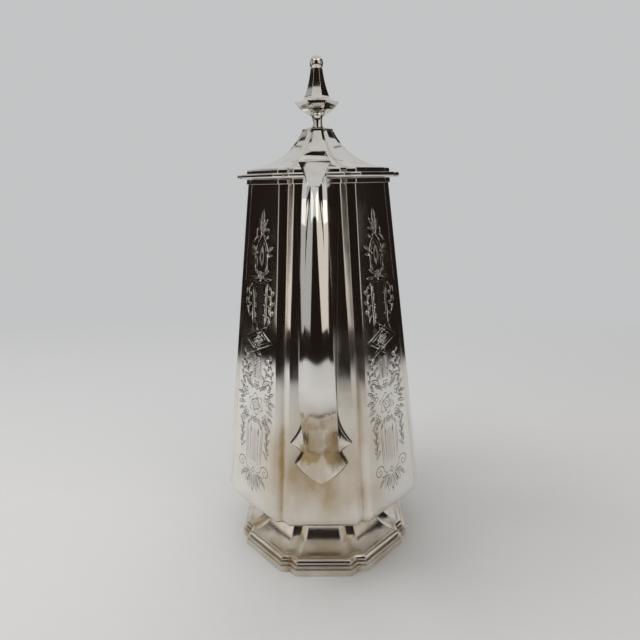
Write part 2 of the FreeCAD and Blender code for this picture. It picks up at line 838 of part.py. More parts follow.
def make_nodes():
    """Every piece of the pot, by name."""
    pot = body_form(0.0)
    vessel = pot.cut(block((-reach, -reach, body_top), (reach, reach, body_top + reach)))
    vessel = vessel.cut(body_form(body_wall))
    plug = upright(neck_across / 2.0, 0.0, body_base + floor_seam_height, body_notch)
    bore = spout_bore()
    spout_outer = spout_form(0.0)
    spout = spout_outer.cut(bore).cut(pot)
    collar = panel_plate(spout_root_outline(spout_collar_margin), 0.0, spout_collar_thickness, 1.0)
    rim = mouth_rim()
    pot_and_rim = pot.fuse(rim)
    shield, ears = handle_lower_plates(pot)
    grip = handle_grip(pot, shield, ears)
    spire = finial_spire()
    step = lid_step()
    stud, washer, nut = finial_fixings()
    half_pin = hinge_length / 2.0
    return {
        "foot_rim": foot_rim(),
        "foot_cove": foot_cove(),
        "body_floor": vessel.common(plug),
        "body_shell": vessel.cut(plug).cut(bore),
        "mouth_rim": rim,
        "spout": spout,
        "spout_base_collar": collar.cut(spout_outer),
        "spout_strainer": spout_strainer(),
        "handle_grip": grip,
        "handle_spur": handle_spur(grip),
        "handle_upper_socket": handle_upper_socket(pot_and_rim),
        "handle_lower_shield": shield,
        "handle_lower_ears": ears,
        "hinge_body_knuckles": hinge_body_knuckles(pot_and_rim),
        "hinge_pin": barrel(hinge_pin_radius, -half_pin, half_pin),
        "lid_flange": lid_flange(),
        "lid_step": step,
        "lid_dome": lid_dome(),
        "lid_bezel": lid_bezel(),
        "hinge_lid_knuckles": hinge_lid_knuckles(step),
        "finial_collar": finial_collar(),
        "finial_stem": finial_stem(),
        "finial_cup": finial_cup(),
        "finial_cap": finial_cap(),
        "finial_spire": spire,
        "finial_ball": finial_ball(spire),
        "finial_stud": stud,
        "finial_washer": washer,
        "finial_nut": nut,
    }


def main():
    os.makedirs("parts", exist_ok=True)
    for name, shape in make_nodes().items():
        shape.exportStep(os.path.join("parts", name + ".step"))
        box = shape.BoundBox
        print(
            f"{name}: {len(shape.Solids)} solid, {shape.Volume:.1f} mm3, valid {shape.isValid()},"
            f" x {box.XMin:.1f}..{box.XMax:.1f}, y {box.YMin:.1f}..{box.YMax:.1f},"
            f" z {box.ZMin:.1f}..{box.ZMax:.1f}"
        )


main()
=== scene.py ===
"""A panelled silver coffee pot with a hinged lid: its visible pieces, finishes and stage."""

import math

import bmesh
import bpy
import numpy as np
from mathutils import Euler, Matrix, Vector
from mathutils.geometry import delaunay_2d_cdt, interpolate_bezier


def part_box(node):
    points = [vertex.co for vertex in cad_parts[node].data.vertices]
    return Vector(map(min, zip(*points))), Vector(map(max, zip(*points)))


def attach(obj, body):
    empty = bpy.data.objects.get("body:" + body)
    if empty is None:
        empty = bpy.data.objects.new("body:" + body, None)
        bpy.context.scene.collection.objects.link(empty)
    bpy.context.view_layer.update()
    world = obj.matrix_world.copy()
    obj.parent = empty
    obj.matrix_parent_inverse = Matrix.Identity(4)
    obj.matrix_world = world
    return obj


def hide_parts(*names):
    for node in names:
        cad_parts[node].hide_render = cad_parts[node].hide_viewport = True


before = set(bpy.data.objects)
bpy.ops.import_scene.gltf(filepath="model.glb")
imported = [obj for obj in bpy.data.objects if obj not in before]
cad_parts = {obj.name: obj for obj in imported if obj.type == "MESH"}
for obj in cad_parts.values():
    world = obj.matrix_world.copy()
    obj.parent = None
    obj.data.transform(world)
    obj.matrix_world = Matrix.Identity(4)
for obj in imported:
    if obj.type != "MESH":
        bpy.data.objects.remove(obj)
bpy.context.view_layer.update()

bl_info = {
    "name": "Panelled coffee pot",
    "version": (1, 0, 0),
    "blender": (4, 5, 0),
    "location": "3D View > Sidebar > Coffee pot",
    "description": "Builds the silver pieces, finishes and stage of a panelled coffee pot",
    "category": "Object",
}

MM = 0.001
SIDE_TURN = math.radians(45.0)
HALF_TAN = math.tan(SIDE_TURN / 2.0)
WELD = 2e-6
SHARP_EDGE = math.radians(32.0)
SAME_FLAT = math.radians(0.5)


def cad_size(node, end, axis):
    """Where a CAD node's box ends at rest, in millimetres: end 0 is low, 1 is high."""
    return round(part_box(node)[end][axis] / MM, 3)


def out_of(node):
    """Half a CAD node's size across two opposite flat sides."""
    return cad_size(node, 1, 1)


def base_of(node):
    """A CAD node's lowest height."""
    return cad_size(node, 0, 2)


def top_of(node):
    """A CAD node's highest height."""
    return cad_size(node, 1, 2)


# Sizes in millimetres, angles in radians: "out" is half a size across two opposite flat sides.

# Foot
FOOT_NOTCH = 4.8
FOOT_OUT = out_of("foot_rim")
FOOT_INNER_OUT = 41.5
FOOT_TOP = top_of("foot_rim")
FOOT_EDGE_TOP = 3.6
FOOT_BEAD_OUT = 47.1
FOOT_BEAD_TOP = 5.0
FOOT_STEP_OUT = 46.4
FOOT_STEP_TOP = 6.5
FOOT_TOP_OUT = 43.5
SWEEP_OUT = out_of("foot_cove")
SWEEP_TOP = 21.5
SWEEP_BOW = 3.4
SWEEP_WALL = 1.4
# Body and the band round its mouth
NECK_OUT = out_of("body_floor")
BODY_NOTCH = 4.1
BODY_BASE = base_of("body_shell")
BODY_TOP = top_of("body_shell")
BODY_TOP_OUT = 34.6
BODY_WALL = 1.1
SIDE_LEAN = 0.11648
SIDE_ANGLE = math.atan(SIDE_LEAN)
BOTTOM_SLOPE = math.radians(20.0)
BOTTOM_RADIUS = 9.0
DEEPEST_CUT = 0.12
LEAST_CUT = 0.004
MOUTH_OUT = BODY_TOP_OUT - BODY_WALL / math.cos(SIDE_ANGLE)
BAND_BASE = base_of("mouth_rim")
BAND_TOP = top_of("mouth_rim")
BAND_PROUD = 0.8
# Lid
LID_NOTCH = 4.3
PLATE_BASE = base_of("lid_flange")
PLATE_TOP = top_of("lid_flange")
PLATE_NOSE = 0.525
PLATE_OUT = out_of("lid_flange") - PLATE_NOSE
PLATE_INNER_OUT = 32.69
STEP_TOP = top_of("lid_step")
STEP_OUT = out_of("lid_step")
STEP_INNER_OUT = 30.2
STEP_EDGE = 1.2
DOME_OUT = out_of("lid_dome")
DOME_TOP = top_of("lid_dome")
DOME_TOP_OUT = 8.0
DOME_TOP_NOTCH = 1.6
DOME_BOW = 3.45
DOME_WALL = 1.0
DOME_HOLE_OUT = 2.0
# Finial
COLLAR_OUT = out_of("finial_collar")
COLLAR_EDGE = 1.0
COLLAR_TOP = top_of("finial_collar")
COLLAR_TOP_OUT = 6.0
STEM_OUT = 3.0
STEM_TOP = top_of("finial_stem")
CUP_BASE_OUT = 3.2
CUP_OUT = out_of("finial_cup")
CUP_TOP = top_of("finial_cup")
CAP_TOP = top_of("finial_cap")
CAP_TOP_OUT = out_of("finial_spire")
SPIRE_TOP = top_of("finial_spire")
SPIRE_TOP_OUT = 2.9
BALL_RADIUS = 3.5
BALL_TOP = top_of("finial_ball")
BALL_MIDDLE = BALL_TOP - BALL_RADIUS
STUD_HOLE = 1.6
FINE_HOLE = 0.3
# Handle
HANDLE_THICK = 8.0
HANDLE_BEVEL = 1.8
ARM_ROOT = (cad_size("handle_grip", 1, 0), 198.95)
ARM_RISE = math.radians(24.0)
ARM_CORNER_OUT = 76.0
ARM_CORNER_LEAD = 17.0
BOW_CORNER_LEAD = 28.0
BOW_TOP_LEAN = math.radians(22.0)
STRAP_BELLY = (-94.8, 158.7)
STRAP_BEND = (cad_size("handle_grip", 0, 0), 130.0)
STRAP_TOP_WIDTH = 8.4
STRAP_FOOT_WIDTH = 17.7
STRAP_LANDING_TURN = math.radians(50.0)
STRAP_SINK = 0.6
STRAP_CORNER_PULL = 0.88
STRAP_LANDING_PULL = 0.18
SHIELD_SHOULDER = 71.0
SHIELD_TOP = 92.0
SHIELD_PROUD = 2.8
# Spout: each place has its distance out from the panel, height, heading in degrees, depth and width.
SPOUT_WALL = 1.1
SPOUT_CORNER = 0.29
SPOUT_LIP_ROUND = 0.12
SPOUT_ROOT_UP = 82.0
SPOUT_PLACES = (
    (-8.8, SPOUT_ROOT_UP, 6.0, 39.0, 26.0),
    (9.2, 90.0, 40.0, 30.5, 22.0),
    (21.0, 113.0, 70.0, 22.0, 17.5),
    (28.0, 152.0, 79.0, 16.5, 14.0),
    (43.73, 201.0, 58.0, 12.4, 11.6),
)

# Where most tarnish stays, in metres: round the handle's foot, and at both shoulders of its shield.
HANDLE_FOOT = (-0.052, 0.0, 0.064)
SHIELD_STAIN = (0.0535, 0.0060, 0.0752)

# The camera at the photograph's angle: metres, degrees, a sensor in millimetres, a picture in pixels.
CAMERA_PLACE = (-0.26302, -0.00526, 0.20314)
CAMERA_TILT = 15.798
CAMERA_TURN = 1.146
CAMERA_ROLL = -1.026
SENSOR_WIDTH = 36.0
PICTURE_WIDTH = 640.0
PICTURE_SHIFT = -1.0
FOCAL_LENGTH = 490.0


def side_out(up):
    """Half the body's size across its panels, at a height on the straight taper."""
    return BODY_TOP_OUT + (BODY_TOP - up) * SIDE_LEAN


SPOUT_ROOT_OUT = side_out(SPOUT_ROOT_UP)


class PotWork(bpy.types.PropertyGroup):
    """How the pieces are worked."""

    edge_round: bpy.props.FloatProperty(
        name="Edge rounding", description="Radius worn on the panels' edges",
        default=0.55 * MM, min=0.05 * MM, max=1.0 * MM, precision=5, subtype="DISTANCE", unit="LENGTH")
    plate_round: bpy.props.FloatProperty(
        name="Plate rounding", description="Width of the eased edge of soldered plates and blocks",
        default=0.28 * MM, min=0.05 * MM, max=1.0 * MM, precision=5, subtype="DISTANCE", unit="LENGTH")
    cut_width: bpy.props.FloatProperty(
        name="Cut width", description="Width of a full engraved line",
        default=0.34 * MM, min=0.1 * MM, max=1.5 * MM, precision=5, subtype="DISTANCE", unit="LENGTH")
    cut_slope: bpy.props.FloatProperty(
        name="Cut slope", description="Depth of an engraved line for each unit of half its width",
        default=0.55, min=0.1, max=1.5)
    strap_crown: bpy.props.FloatProperty(
        name="Strap crown", description="How far the handle's faces swell across their width",
        default=1.2 * MM, min=0.0, max=1.5 * MM, precision=5, subtype="DISTANCE", unit="LENGTH")


class PotFinish(bpy.types.PropertyGroup):
    """Colours and polish of the metals."""

    silver: bpy.props.FloatVectorProperty(
        name="Silver", description="Colour of clean polished silver",
        default=(0.89, 0.875, 0.835), size=3, min=0.0, max=1.0, subtype="COLOR")
    # Also the colour of the painted shade in the notches.
    tarnish: bpy.props.FloatVectorProperty(
        name="Tarnish", description="Colour of the thin yellow-brown tarnish",
        default=(0.46, 0.33, 0.16), size=3, min=0.0, max=1.0, subtype="COLOR")
    brass: bpy.props.FloatVectorProperty(
        name="Brass", description="Colour of the hinge pin and the finial's fixings",
        default=(0.62, 0.46, 0.22), size=3, min=0.0, max=1.0, subtype="COLOR")
    stain: bpy.props.FloatVectorProperty(
        name="Coffee stain", description="Colour of the stain inside the pot",
        default=(0.16, 0.085, 0.04), size=3, min=0.0, max=1.0, subtype="COLOR")
    polish: bpy.props.FloatProperty(
        name="Polish", description="Roughness of the polished silver",
        default=0.045, min=0.0, max=0.5, subtype="FACTOR")


class PotStage(bpy.types.PropertyGroup):
    """Floor, light and backdrop."""

    floor: bpy.props.FloatVectorProperty(
        name="Floor", description="Colour of the pale floor",
        default=(0.80, 0.80, 0.80), size=3, min=0.0, max=1.0, subtype="COLOR")
    backdrop: bpy.props.FloatVectorProperty(
        name="Backdrop", description="Colour seen behind the pot",
        default=(0.545, 0.55, 0.555), size=3, min=0.0, max=1.0, subtype="COLOR")
    room: bpy.props.FloatVectorProperty(
        name="Room", description="Colour of the dim room that the silver reflects",
        default=(0.013, 0.0085, 0.0065), size=3, min=0.0, max=1.0, subtype="COLOR")
    floor_middle: bpy.props.FloatProperty(
        name="Floor middle", description="How far behind the pot's axis the floor's middle lies",
        default=-0.13, min=-2.0, max=2.0, subtype="DISTANCE", unit="LENGTH")
    floor_depth: bpy.props.FloatProperty(
        name="Floor depth", description="Half the floor's size from front to back",
        default=0.60, min=0.3, max=3.0, subtype="DISTANCE", unit="LENGTH")
    floor_width: bpy.props.FloatProperty(
        name="Floor width", description="Half the floor's size from side to side",
        default=0.61, min=0.3, max=3.0, subtype="DISTANCE", unit="LENGTH")
    window_glow: bpy.props.FloatProperty(
        name="Window light", description="Brightness of the wide window at the pot's far left",
        default=0.35, min=0.0, max=20.0)
    key_glow: bpy.props.FloatProperty(
        name="Key light", description="Brightness of the high light that casts the soft shadow",
        default=3.8, min=0.0, max=20.0)
    overhead_glow: bpy.props.FloatProperty(
        name="Overhead light", description="Brightness of the wide ceiling above the pot",
        default=0.55, min=0.0, max=20.0)
    front_glow: bpy.props.FloatProperty(
        name="Front lights", description="Brightness of the lights to both sides of the camera",
        default=0.8, min=0.0, max=20.0)


class Channel:
    """A node's output that takes part in sums."""

    def __init__(self, graph, socket):
        self.graph = graph
        self.socket = socket

    def sum_with(self, operation, first, second):
        return self.graph.node("ShaderNodeMath", {"operation": operation}, {0: first, 1: second})

    def __add__(self, other):
        return self.sum_with("ADD", self, other)

    def __radd__(self, other):
        return self.sum_with("ADD", other, self)

    def __sub__(self, other):
        return self.sum_with("SUBTRACT", self, other)

    def __rsub__(self, other):
        return self.sum_with("SUBTRACT", other, self)

    def __mul__(self, other):
        return self.sum_with("MULTIPLY", self, other)

    def __rmul__(self, other):
        return self.sum_with("MULTIPLY", other, self)

    def __pow__(self, other):
        return self.sum_with("POWER", self, other)

    def __rpow__(self, other):
        return self.sum_with("POWER", other, self)


class Graph:
    """A node tree whose nodes all come from one method."""

    def __init__(self, tree):
        self.tree = tree

    def node(self, kind, settings=None, inputs=None, output=0):
        """Adds a node with its settings and inputs; gives back the output that is asked for."""
        made = self.tree.nodes.new(kind)
        for key, value in (settings or {}).items():
            setattr(made, key, value)
        for key, value in (inputs or {}).items():
            self.feed(made.inputs[key], value)
        return Channel(self, made.outputs[output]) if made.outputs else None

    def feed(self, socket, value):
        """Links an output to a socket, or sets a plain value on it."""
        if isinstance(value, Channel):
            self.tree.links.new(value.socket, socket)
        else:
            socket.default_value = value

    def mixed(self, share, first, second):
        """A colour between two, by a share."""
        colours = {0: share, 6: (*first, 1.0), 7: (*second, 1.0)}
        return self.node("ShaderNodeMix", {"data_type": "RGBA"}, colours, 2)


class Surface(Graph):
    """A finish on one Principled shader, of metal unless it says otherwise."""

    def __init__(self, name, colour, roughness, metallic=1.0):
        self.material = bpy.data.materials.new(name)
        self.material.use_nodes = True
        super().__init__(self.material.node_tree)
        self.shader = self.tree.nodes["Principled BSDF"].inputs
        self.shader["Metallic"].default_value = metallic
        self.shader["Base Color"].default_value = (*colour, 1.0)
        self.shader["Roughness"].default_value = roughness
        self.place = self.node("ShaderNodeTexCoord", output="Object")

    def noise(self, scale, detail=2.0, stretch=None):
        """Soft uneven spots over the piece, finer for a larger scale."""
        vector = self.place
        if stretch:
            vector = self.node("ShaderNodeMapping", None, {"Vector": vector, "Scale": stretch})
        return self.node("ShaderNodeTexNoise", None, {"Vector": vector, "Scale": scale, "Detail": detail})

    def away_from(self, spot, place=None):
        """Distance from a spot."""
        ends = {0: place or self.place, 1: spot}
        return self.node("ShaderNodeVectorMath", {"operation": "DISTANCE"}, ends, "Value")

    def along(self, axis):
        """The place's X, Y or Z."""
        return self.node("ShaderNodeSeparateXYZ", None, {0: self.place}, axis)

    def most(self, first, second):
        """The larger of two values, held between 0 and 1."""
        held = {"operation": "MAXIMUM", "use_clamp": True}
        return self.node("ShaderNodeMath", held, {0: first, 1: second})

    def band(self, value, low, high):
        """A value's share of the way from low to high, held between 0 and 1."""
        return self.node("ShaderNodeMapRange", {"clamp": True},
                         {"Value": value, "From Min": low, "From Max": high})

    def bump(self, height, distance, normal=None):
        """A normal raised by a height."""
        inputs = {"Height": height, "Distance": distance, "Strength": 1.0}
        if normal:
            inputs["Normal"] = normal
        return self.node("ShaderNodeBump", None, inputs)

    def finished(self, fed):
        """Feeds the shader's named inputs; gives back the material."""
        for name, value in fed.items():
            self.feed(self.shader[name], value)
        return self.material


def polished_silver(name, finish, drifts, film):
    """Bright silver, faintly uneven from the hammer and the mop, with drifts of thin tarnish.

    The tarnish is thicker round the handle's foot, low on the pot and on the shield. In the notches the
    tarnish colour is painted shade: it darkens their recesses and stands in for their dark reflections."""
    metal = Surface(name, finish.silver, finish.polish)
    drift = metal.band(metal.noise(scale=32.0, detail=4.0), low=0.52, high=0.76) * drifts
    handled = 1.0 - metal.band(metal.away_from(HANDLE_FOOT), low=0.014, high=0.052)
    low = 1.0 - metal.band(metal.along("Z"), low=0.020, high=0.036)
    # Painted shade: the notches' marked corners take the tarnish colour, darkening the recesses between the
    # panels.
    notched = metal.node("ShaderNodeAttribute", {"attribute_name": "hollow"}, None, "Fac")
    hollow = metal.band(notched, low=0.3, high=1.0)
    streaks = metal.band(metal.noise(scale=70.0, detail=5.0, stretch=(1.0, 1.0, 0.6)), low=0.34, high=0.66)
    both_sides = metal.node("ShaderNodeVectorMath", {"operation": "ABSOLUTE"}, {0: metal.place})
    ragged = metal.noise(scale=210.0, detail=5.0, stretch=(1.0, 1.0, 0.5)) * 0.014
    stain = 1.0 - metal.band(metal.away_from(SHIELD_STAIN, both_sides) + ragged, low=0.0105, high=0.0165)
    # Real tarnish round the handle's foot and low on the pot, with painted shade in the notches.
    tarnish_and_notch_shade = handled * (film + streaks * 0.5) + (low + hollow) * (0.12 + streaks * 0.38)
    tarnish = metal.most(metal.most(drift, tarnish_and_notch_shade), stain * 0.95)
    haze = metal.noise(scale=420.0, detail=3.0)
    wipe = metal.noise(scale=1.0, detail=3.0, stretch=(900.0, 900.0, 60.0))
    sheet = metal.bump(metal.noise(scale=38.0, detail=1.0), distance=0.00022)
    return metal.finished({
        "Base Color": metal.mixed(tarnish, finish.silver, finish.tarnish),
        "Roughness": finish.polish + haze * 0.03 + wipe * 0.02 + tarnish * 0.24 + low * 0.06,
        "Normal": metal.bump(wipe, distance=0.0000006, normal=sheet),
    })


# Also fills the plates' seams, whose dark cut under the shield is a painted shadow.
def cut_silver(name):
    """Graved lines: a duller, finely scored surface with old tarnish in it."""
    metal = Surface(name, (0.15, 0.14, 0.125), roughness=0.4)
    score = metal.noise(scale=2600.0)
    return metal.finished({"Roughness": 0.3 + score * 0.25, "Normal": metal.bump(score, distance=0.00002)})


def inner_silver(name, finish):
    """Satin silver inside the pot, with a film of coffee stain."""
    metal = Surface(name, finish.silver, roughness=0.3)
    film = metal.band(metal.noise(scale=55.0, detail=5.0), low=0.42, high=0.75) * 0.55
    return metal.finished({
        "Base Color": metal.mixed(film, finish.silver, finish.stain),
        "Roughness": 0.26 + film * 0.35 + metal.noise(scale=800.0) * 0.08,
        "Normal": metal.bump(metal.noise(scale=700.0, detail=3.0), distance=0.00004),
    })


def fixing_brass(name, finish):
    """Turned brass, dulled in the hollows of its tool marks."""
    metal = Surface(name, finish.brass, roughness=0.3)
    dull = metal.band(metal.noise(scale=300.0, detail=4.0), low=0.4, high=0.8)
    marks = metal.noise(scale=1.0, stretch=(400.0, 400.0, 6000.0))
    return metal.finished({
        "Base Color": metal.mixed(dull, finish.brass, (0.34, 0.22, 0.09)),
        "Roughness": 0.22 + dull * 0.25,
        "Normal": metal.bump(marks, distance=0.00001),
    })


def pale_floor(stage):
    """Matt pale floor that fades out towards its rounded edge, and sooner behind the pot."""
    floor = Surface("pale_floor", stage.floor, roughness=0.75, metallic=0.0)
    grain = floor.noise(scale=160.0, detail=4.0)
    darker = [0.97 * part for part in stage.floor]
    deep = floor.along("X") * (1.0 / stage.floor_depth)
    wide = floor.along("Y") * (1.0 / stage.floor_width)
    edge = floor.band(deep ** 4.0 + wide ** 4.0, low=0.55, high=1.0)
    fade = floor.most(edge, floor.band(deep, low=0.25, high=1.0))
    clear = floor.node("ShaderNodeBsdfTransparent")
    solid = Channel(floor, floor.tree.nodes["Principled BSDF"].outputs[0])
    mixed = floor.node("ShaderNodeMixShader", None, {0: fade, 1: solid, 2: clear})
    floor.feed(floor.tree.nodes["Material Output"].inputs["Surface"], mixed)
    return floor.finished({
        "Base Color": floor.mixed(grain, stage.floor, darker), "Specular IOR Level": 0.2})


def bowed(start, end, sag, steps):
    """Places along an arc from start to end, bowed to the left of the way by sag, ends included."""
    chord = Vector(end) - Vector(start)
    left = Vector((-chord.y, chord.x)).normalized()
    half = chord.length / 2.0
    radius = (half * half + sag * sag) / (2.0 * sag)
    centre = (Vector(start) + Vector(end)) / 2.0 + left * (sag - radius)
    spread = math.asin(max(-1.0, min(1.0, half / radius)))
    if abs(sag) > half:
        spread = math.pi - spread if spread > 0 else -math.pi - spread
    places = []
    for count in range(steps + 1):
        angle = spread * (2.0 * count / steps - 1.0)
        spot = centre + radius * (left * math.cos(angle) + chord.normalized() * math.sin(angle))
        places.append((spot.x, spot.y))
    return places


def eased(corners, steps=4):
    """A moulding's closed outline from (out, up, radius) corners, each turned in a short curve."""
    places = []
    count = len(corners)
    for index, (out, up, radius) in enumerate(corners):
        corner = Vector((out, up))
        if not radius:
            places.append((out, up))
            continue
        back = Vector(corners[index - 1][:2]) - corner
        on = Vector(corners[(index + 1) % count][:2]) - corner
        half = back.angle(on) / 2.0
        lead = min(radius / math.tan(half), 0.45 * back.length, 0.45 * on.length)
        first = corner + back.normalized() * lead
        last = corner + on.normalized() * lead
        for step in range(steps + 1):
            share = step / steps
            spot = first * (1 - share) ** 2 + corner * 2 * share * (1 - share) + last * share ** 2
            places.append((spot.x, spot.y))
    return places


def plain(places):
    """Outline corners with no rounding of their own."""
    return [(out, up, 0.0) for out, up in places]


def bored(places, bore):
    """Corners of an outline that goes up its outer side and is closed along a bore."""
    return plain([*places, (bore, places[-1][1]), (bore, places[0][1])])


def soft_edge(out, start, ease, turn, steps):
    """Places round the soft edge of a side that is flat up to a start."""
    angles = [turn * count / steps for count in range(steps + 1)]
    return [(out - ease * (1.0 - math.cos(angle)), start + ease * math.sin(angle)) for angle in angles]


def panel_side(steps=4, margin=0.25):
    """How one side of a notched eight-sided form goes round: its flat, a soft edge and the notch."""
    soft = bpy.context.scene.pot_work.edge_round / MM
    into = math.sin(SIDE_TURN)

    def outline(out, up, notch):
        flat = out * HALF_TAN - notch
        ease = min(soft, notch / 3.0, flat / 2.0)
        lead = ease * HALF_TAN
        gap = min(margin, (flat - lead) / 2.0, notch / 4.0)
        right = [(out, flat - lead - gap), *soft_edge(out, flat - lead, ease, SIDE_TURN, steps)]
        right += [(out - far * into, flat + far * into) for far in (lead + gap, notch)]
        return mirrored_side(right, up)
    return outline


def plain_side(soft, steps=3, margin=0.12):
    """How one side of a plain eight-sided form goes round."""
    def outline(out, up, notch):
        corner = out * HALF_TAN
        lead = min(soft * HALF_TAN, corner / 3.0)
        gap = min(margin, (corner - lead) / 2.0)
        right = [(out, corner - lead - gap)]
        right += soft_edge(out, corner - lead, lead / HALF_TAN, SIDE_TURN / 2.0, steps)
        return mirrored_side(right, up)
    return outline


def round_side(steps=4):
    """How an eighth of a turned form goes round."""
    def outline(out, up, notch):
        angles = [SIDE_TURN / 2.0 * (count + 0.5) / (steps + 0.5) for count in range(steps + 1)]
        return mirrored_side([(out * math.cos(angle), out * math.sin(angle)) for angle in angles], up)
    return outline


def mirrored_side(right, up):
    """The left half and the right half of a side, in metres."""
    spots = [(x, -y) for x, y in right[::-1]] + right
    return [Vector((x * MM, y * MM, up * MM)) for x, y in spots]


def skin(form, rings):
    """Faces between each ring of points and the next."""
    for low, high in zip(rings, rings[1:]):
        for index in range(len(low)):
            following = (index + 1) % len(low)
            form.faces.new((low[index], low[following], high[following], high[index]))


def mesh_from(name, form):
    """A new mesh of a form, which is then freed."""
    mesh = bpy.data.meshes.new(name)
    form.to_mesh(mesh)
    form.free()
    return mesh


def sector(rows, outline, sheets=()):
    """One eighth of a form round the upright axis, from a closed list of (out, up, notch) rows.

    Each sheet is (first row, last row, cuts, hole): the flat between those rows is made anew with
    engraved cuts or a hole."""
    form = bmesh.new()
    cut_flag = form.faces.layers.int.new("cut")
    flat_flag = form.faces.layers.int.new("flat")
    # Painted shade: the notches' deepest corners are marked here, and the silver finish darkens them with its
    # tarnish colour.
    hollow = form.verts.layers.float.new("hollow")
    lines = [[form.verts.new(spot) for spot in outline(*row)] for row in rows]
    for line, row in zip(lines, rows):
        for vert in (line[0], line[-1]):
            vert[hollow] = float(row[2] > 0.0)
    middle = len(lines[0]) // 2 - 1
    bare = {row for first, last, *_ in sheets for row in range(first, last)}
    for index, low in enumerate(lines):
        high = lines[(index + 1) % len(lines)]
        for column in range(len(low) - 1):
            if column == middle and index in bare:
                continue
            form.faces.new((low[column], low[column + 1], high[column + 1], high[column]))
    holes = []
    for first, last, cuts, hole in sheets:
        edge = [line[middle + 1].co for line in lines[first:last + 1]]
        rims = [(spot.y / MM, spot.z / MM) for spot in edge]
        holes.append(engraved_sheet(form, rows[first:last + 1], rims, cuts, hole, (cut_flag, flat_flag)))
    if all(holes):
        skin(form, holes)
    return mesh_from("sector", form)


def sheet_place(rows, across, up, depth):
    """A point on a panel's flat, sunk by a depth, from its place across and its height."""
    for (out, low, _), (next_out, high, _) in zip(rows, rows[1:]):
        if min(low, high) - 1e-6 <= up <= max(low, high) + 1e-6:
            break
    rise = Vector((next_out - out, high - low))
    inward = Vector((-rise.y, rise.x)).normalized() * (1.0 if high > low else -1.0)
    spot = Vector((out, low)) + rise * ((up - low) / (high - low)) + inward * depth
    return Vector((spot.x * MM, across * MM, spot.y * MM))


def engraved_sheet(form, rows, rims, cuts, hole, flags):
    """Fills a panel's flat with faces that follow the engraved cuts; gives back a hole's corners."""
    rim = rims + [(-across, up) for across, up in rims[::-1]]
    spots = [Vector(spot) for spot in rim]
    edges = [(index, (index + 1) % len(rim)) for index in range(len(rim))]
    for index in range(1, len(rims) - 1):
        edges.append((index, len(rim) - 1 - index))
    for cut in cuts:
        add_cut(cut, spots, edges)
    if hole:
        start = len(spots)
        spots += [Vector(spot) for spot in hole]
        edges += [(start + index, start + (index + 1) % len(hole)) for index in range(len(hole))]
    found, _, faces, _, _, _ = delaunay_2d_cdt(spots, edges, [], 1, 1e-5)
    depths = cut_depths(np.array([spot[:] for spot in found]), cuts)
    verts = [form.verts.new(sheet_place(rows, spot.x, spot.y, depth)) for spot, depth in zip(found, depths)]
    cut_flag, flat_flag = flags
    for face in faces:
        centre = sum((found[index] for index in face), Vector((0.0, 0.0))) / len(face)
        if hole and all(
            (Vector(b) - Vector(a)).cross(centre - Vector(a)) > 0 for a, b in zip(hole, hole[1:] + hole[:1])
        ):
            continue
        made = form.faces.new([verts[index] for index in face])
        made[flat_flag] = 1
        made[cut_flag] = int(max(depths[index] for index in face) > LEAST_CUT)
    if not hole:
        return None
    return [min(verts, key=lambda vert: (vert.co - sheet_place(rows, *spot, 0.0)).length) for spot in hole]


def add_cut(cut, spots, edges):
    """Adds an engraved line's two banks and its deepest line to the spots and edges of a sheet."""
    lines = ([], [], [])
    for index, (across, up, half) in enumerate(cut):
        here = Vector((across, up))
        before = Vector(cut[max(index - 1, 0)][:2])
        after = Vector(cut[min(index + 1, len(cut) - 1)][:2])
        way = (after - before).normalized()
        bank = Vector((-way.y, way.x)) * half
        for line, spot in zip(lines, (here - bank, here, here + bank)):
            line.append(len(spots))
            spots.append(spot)
    for line in lines:
        edges.extend(zip(line, line[1:]))
    for end in (0, -1):
        edges.append((lines[0][end], lines[1][end]))
        edges.append((lines[1][end], lines[2][end]))


def cut_depths(spots, cuts):
    """How deep the graver has gone at each spot, up to its deepest."""
    slope = bpy.context.scene.pot_work.cut_slope
    deepest = np.zeros(len(spots))
    for cut in cuts:
        for (*start, first_half), (*end, last_half) in zip(cut, cut[1:]):
            start = np.array(start)
            way = np.array(end) - start
            share = np.clip((spots - start) @ way / max(way @ way, 1e-12), 0.0, 1.0)
            away = np.linalg.norm(spots - start - share[:, None] * way, axis=1)
            deepest = np.maximum(deepest, (first_half + (last_half - first_half) * share - away) * slope)
    return np.minimum(deepest, DEEPEST_CUT)


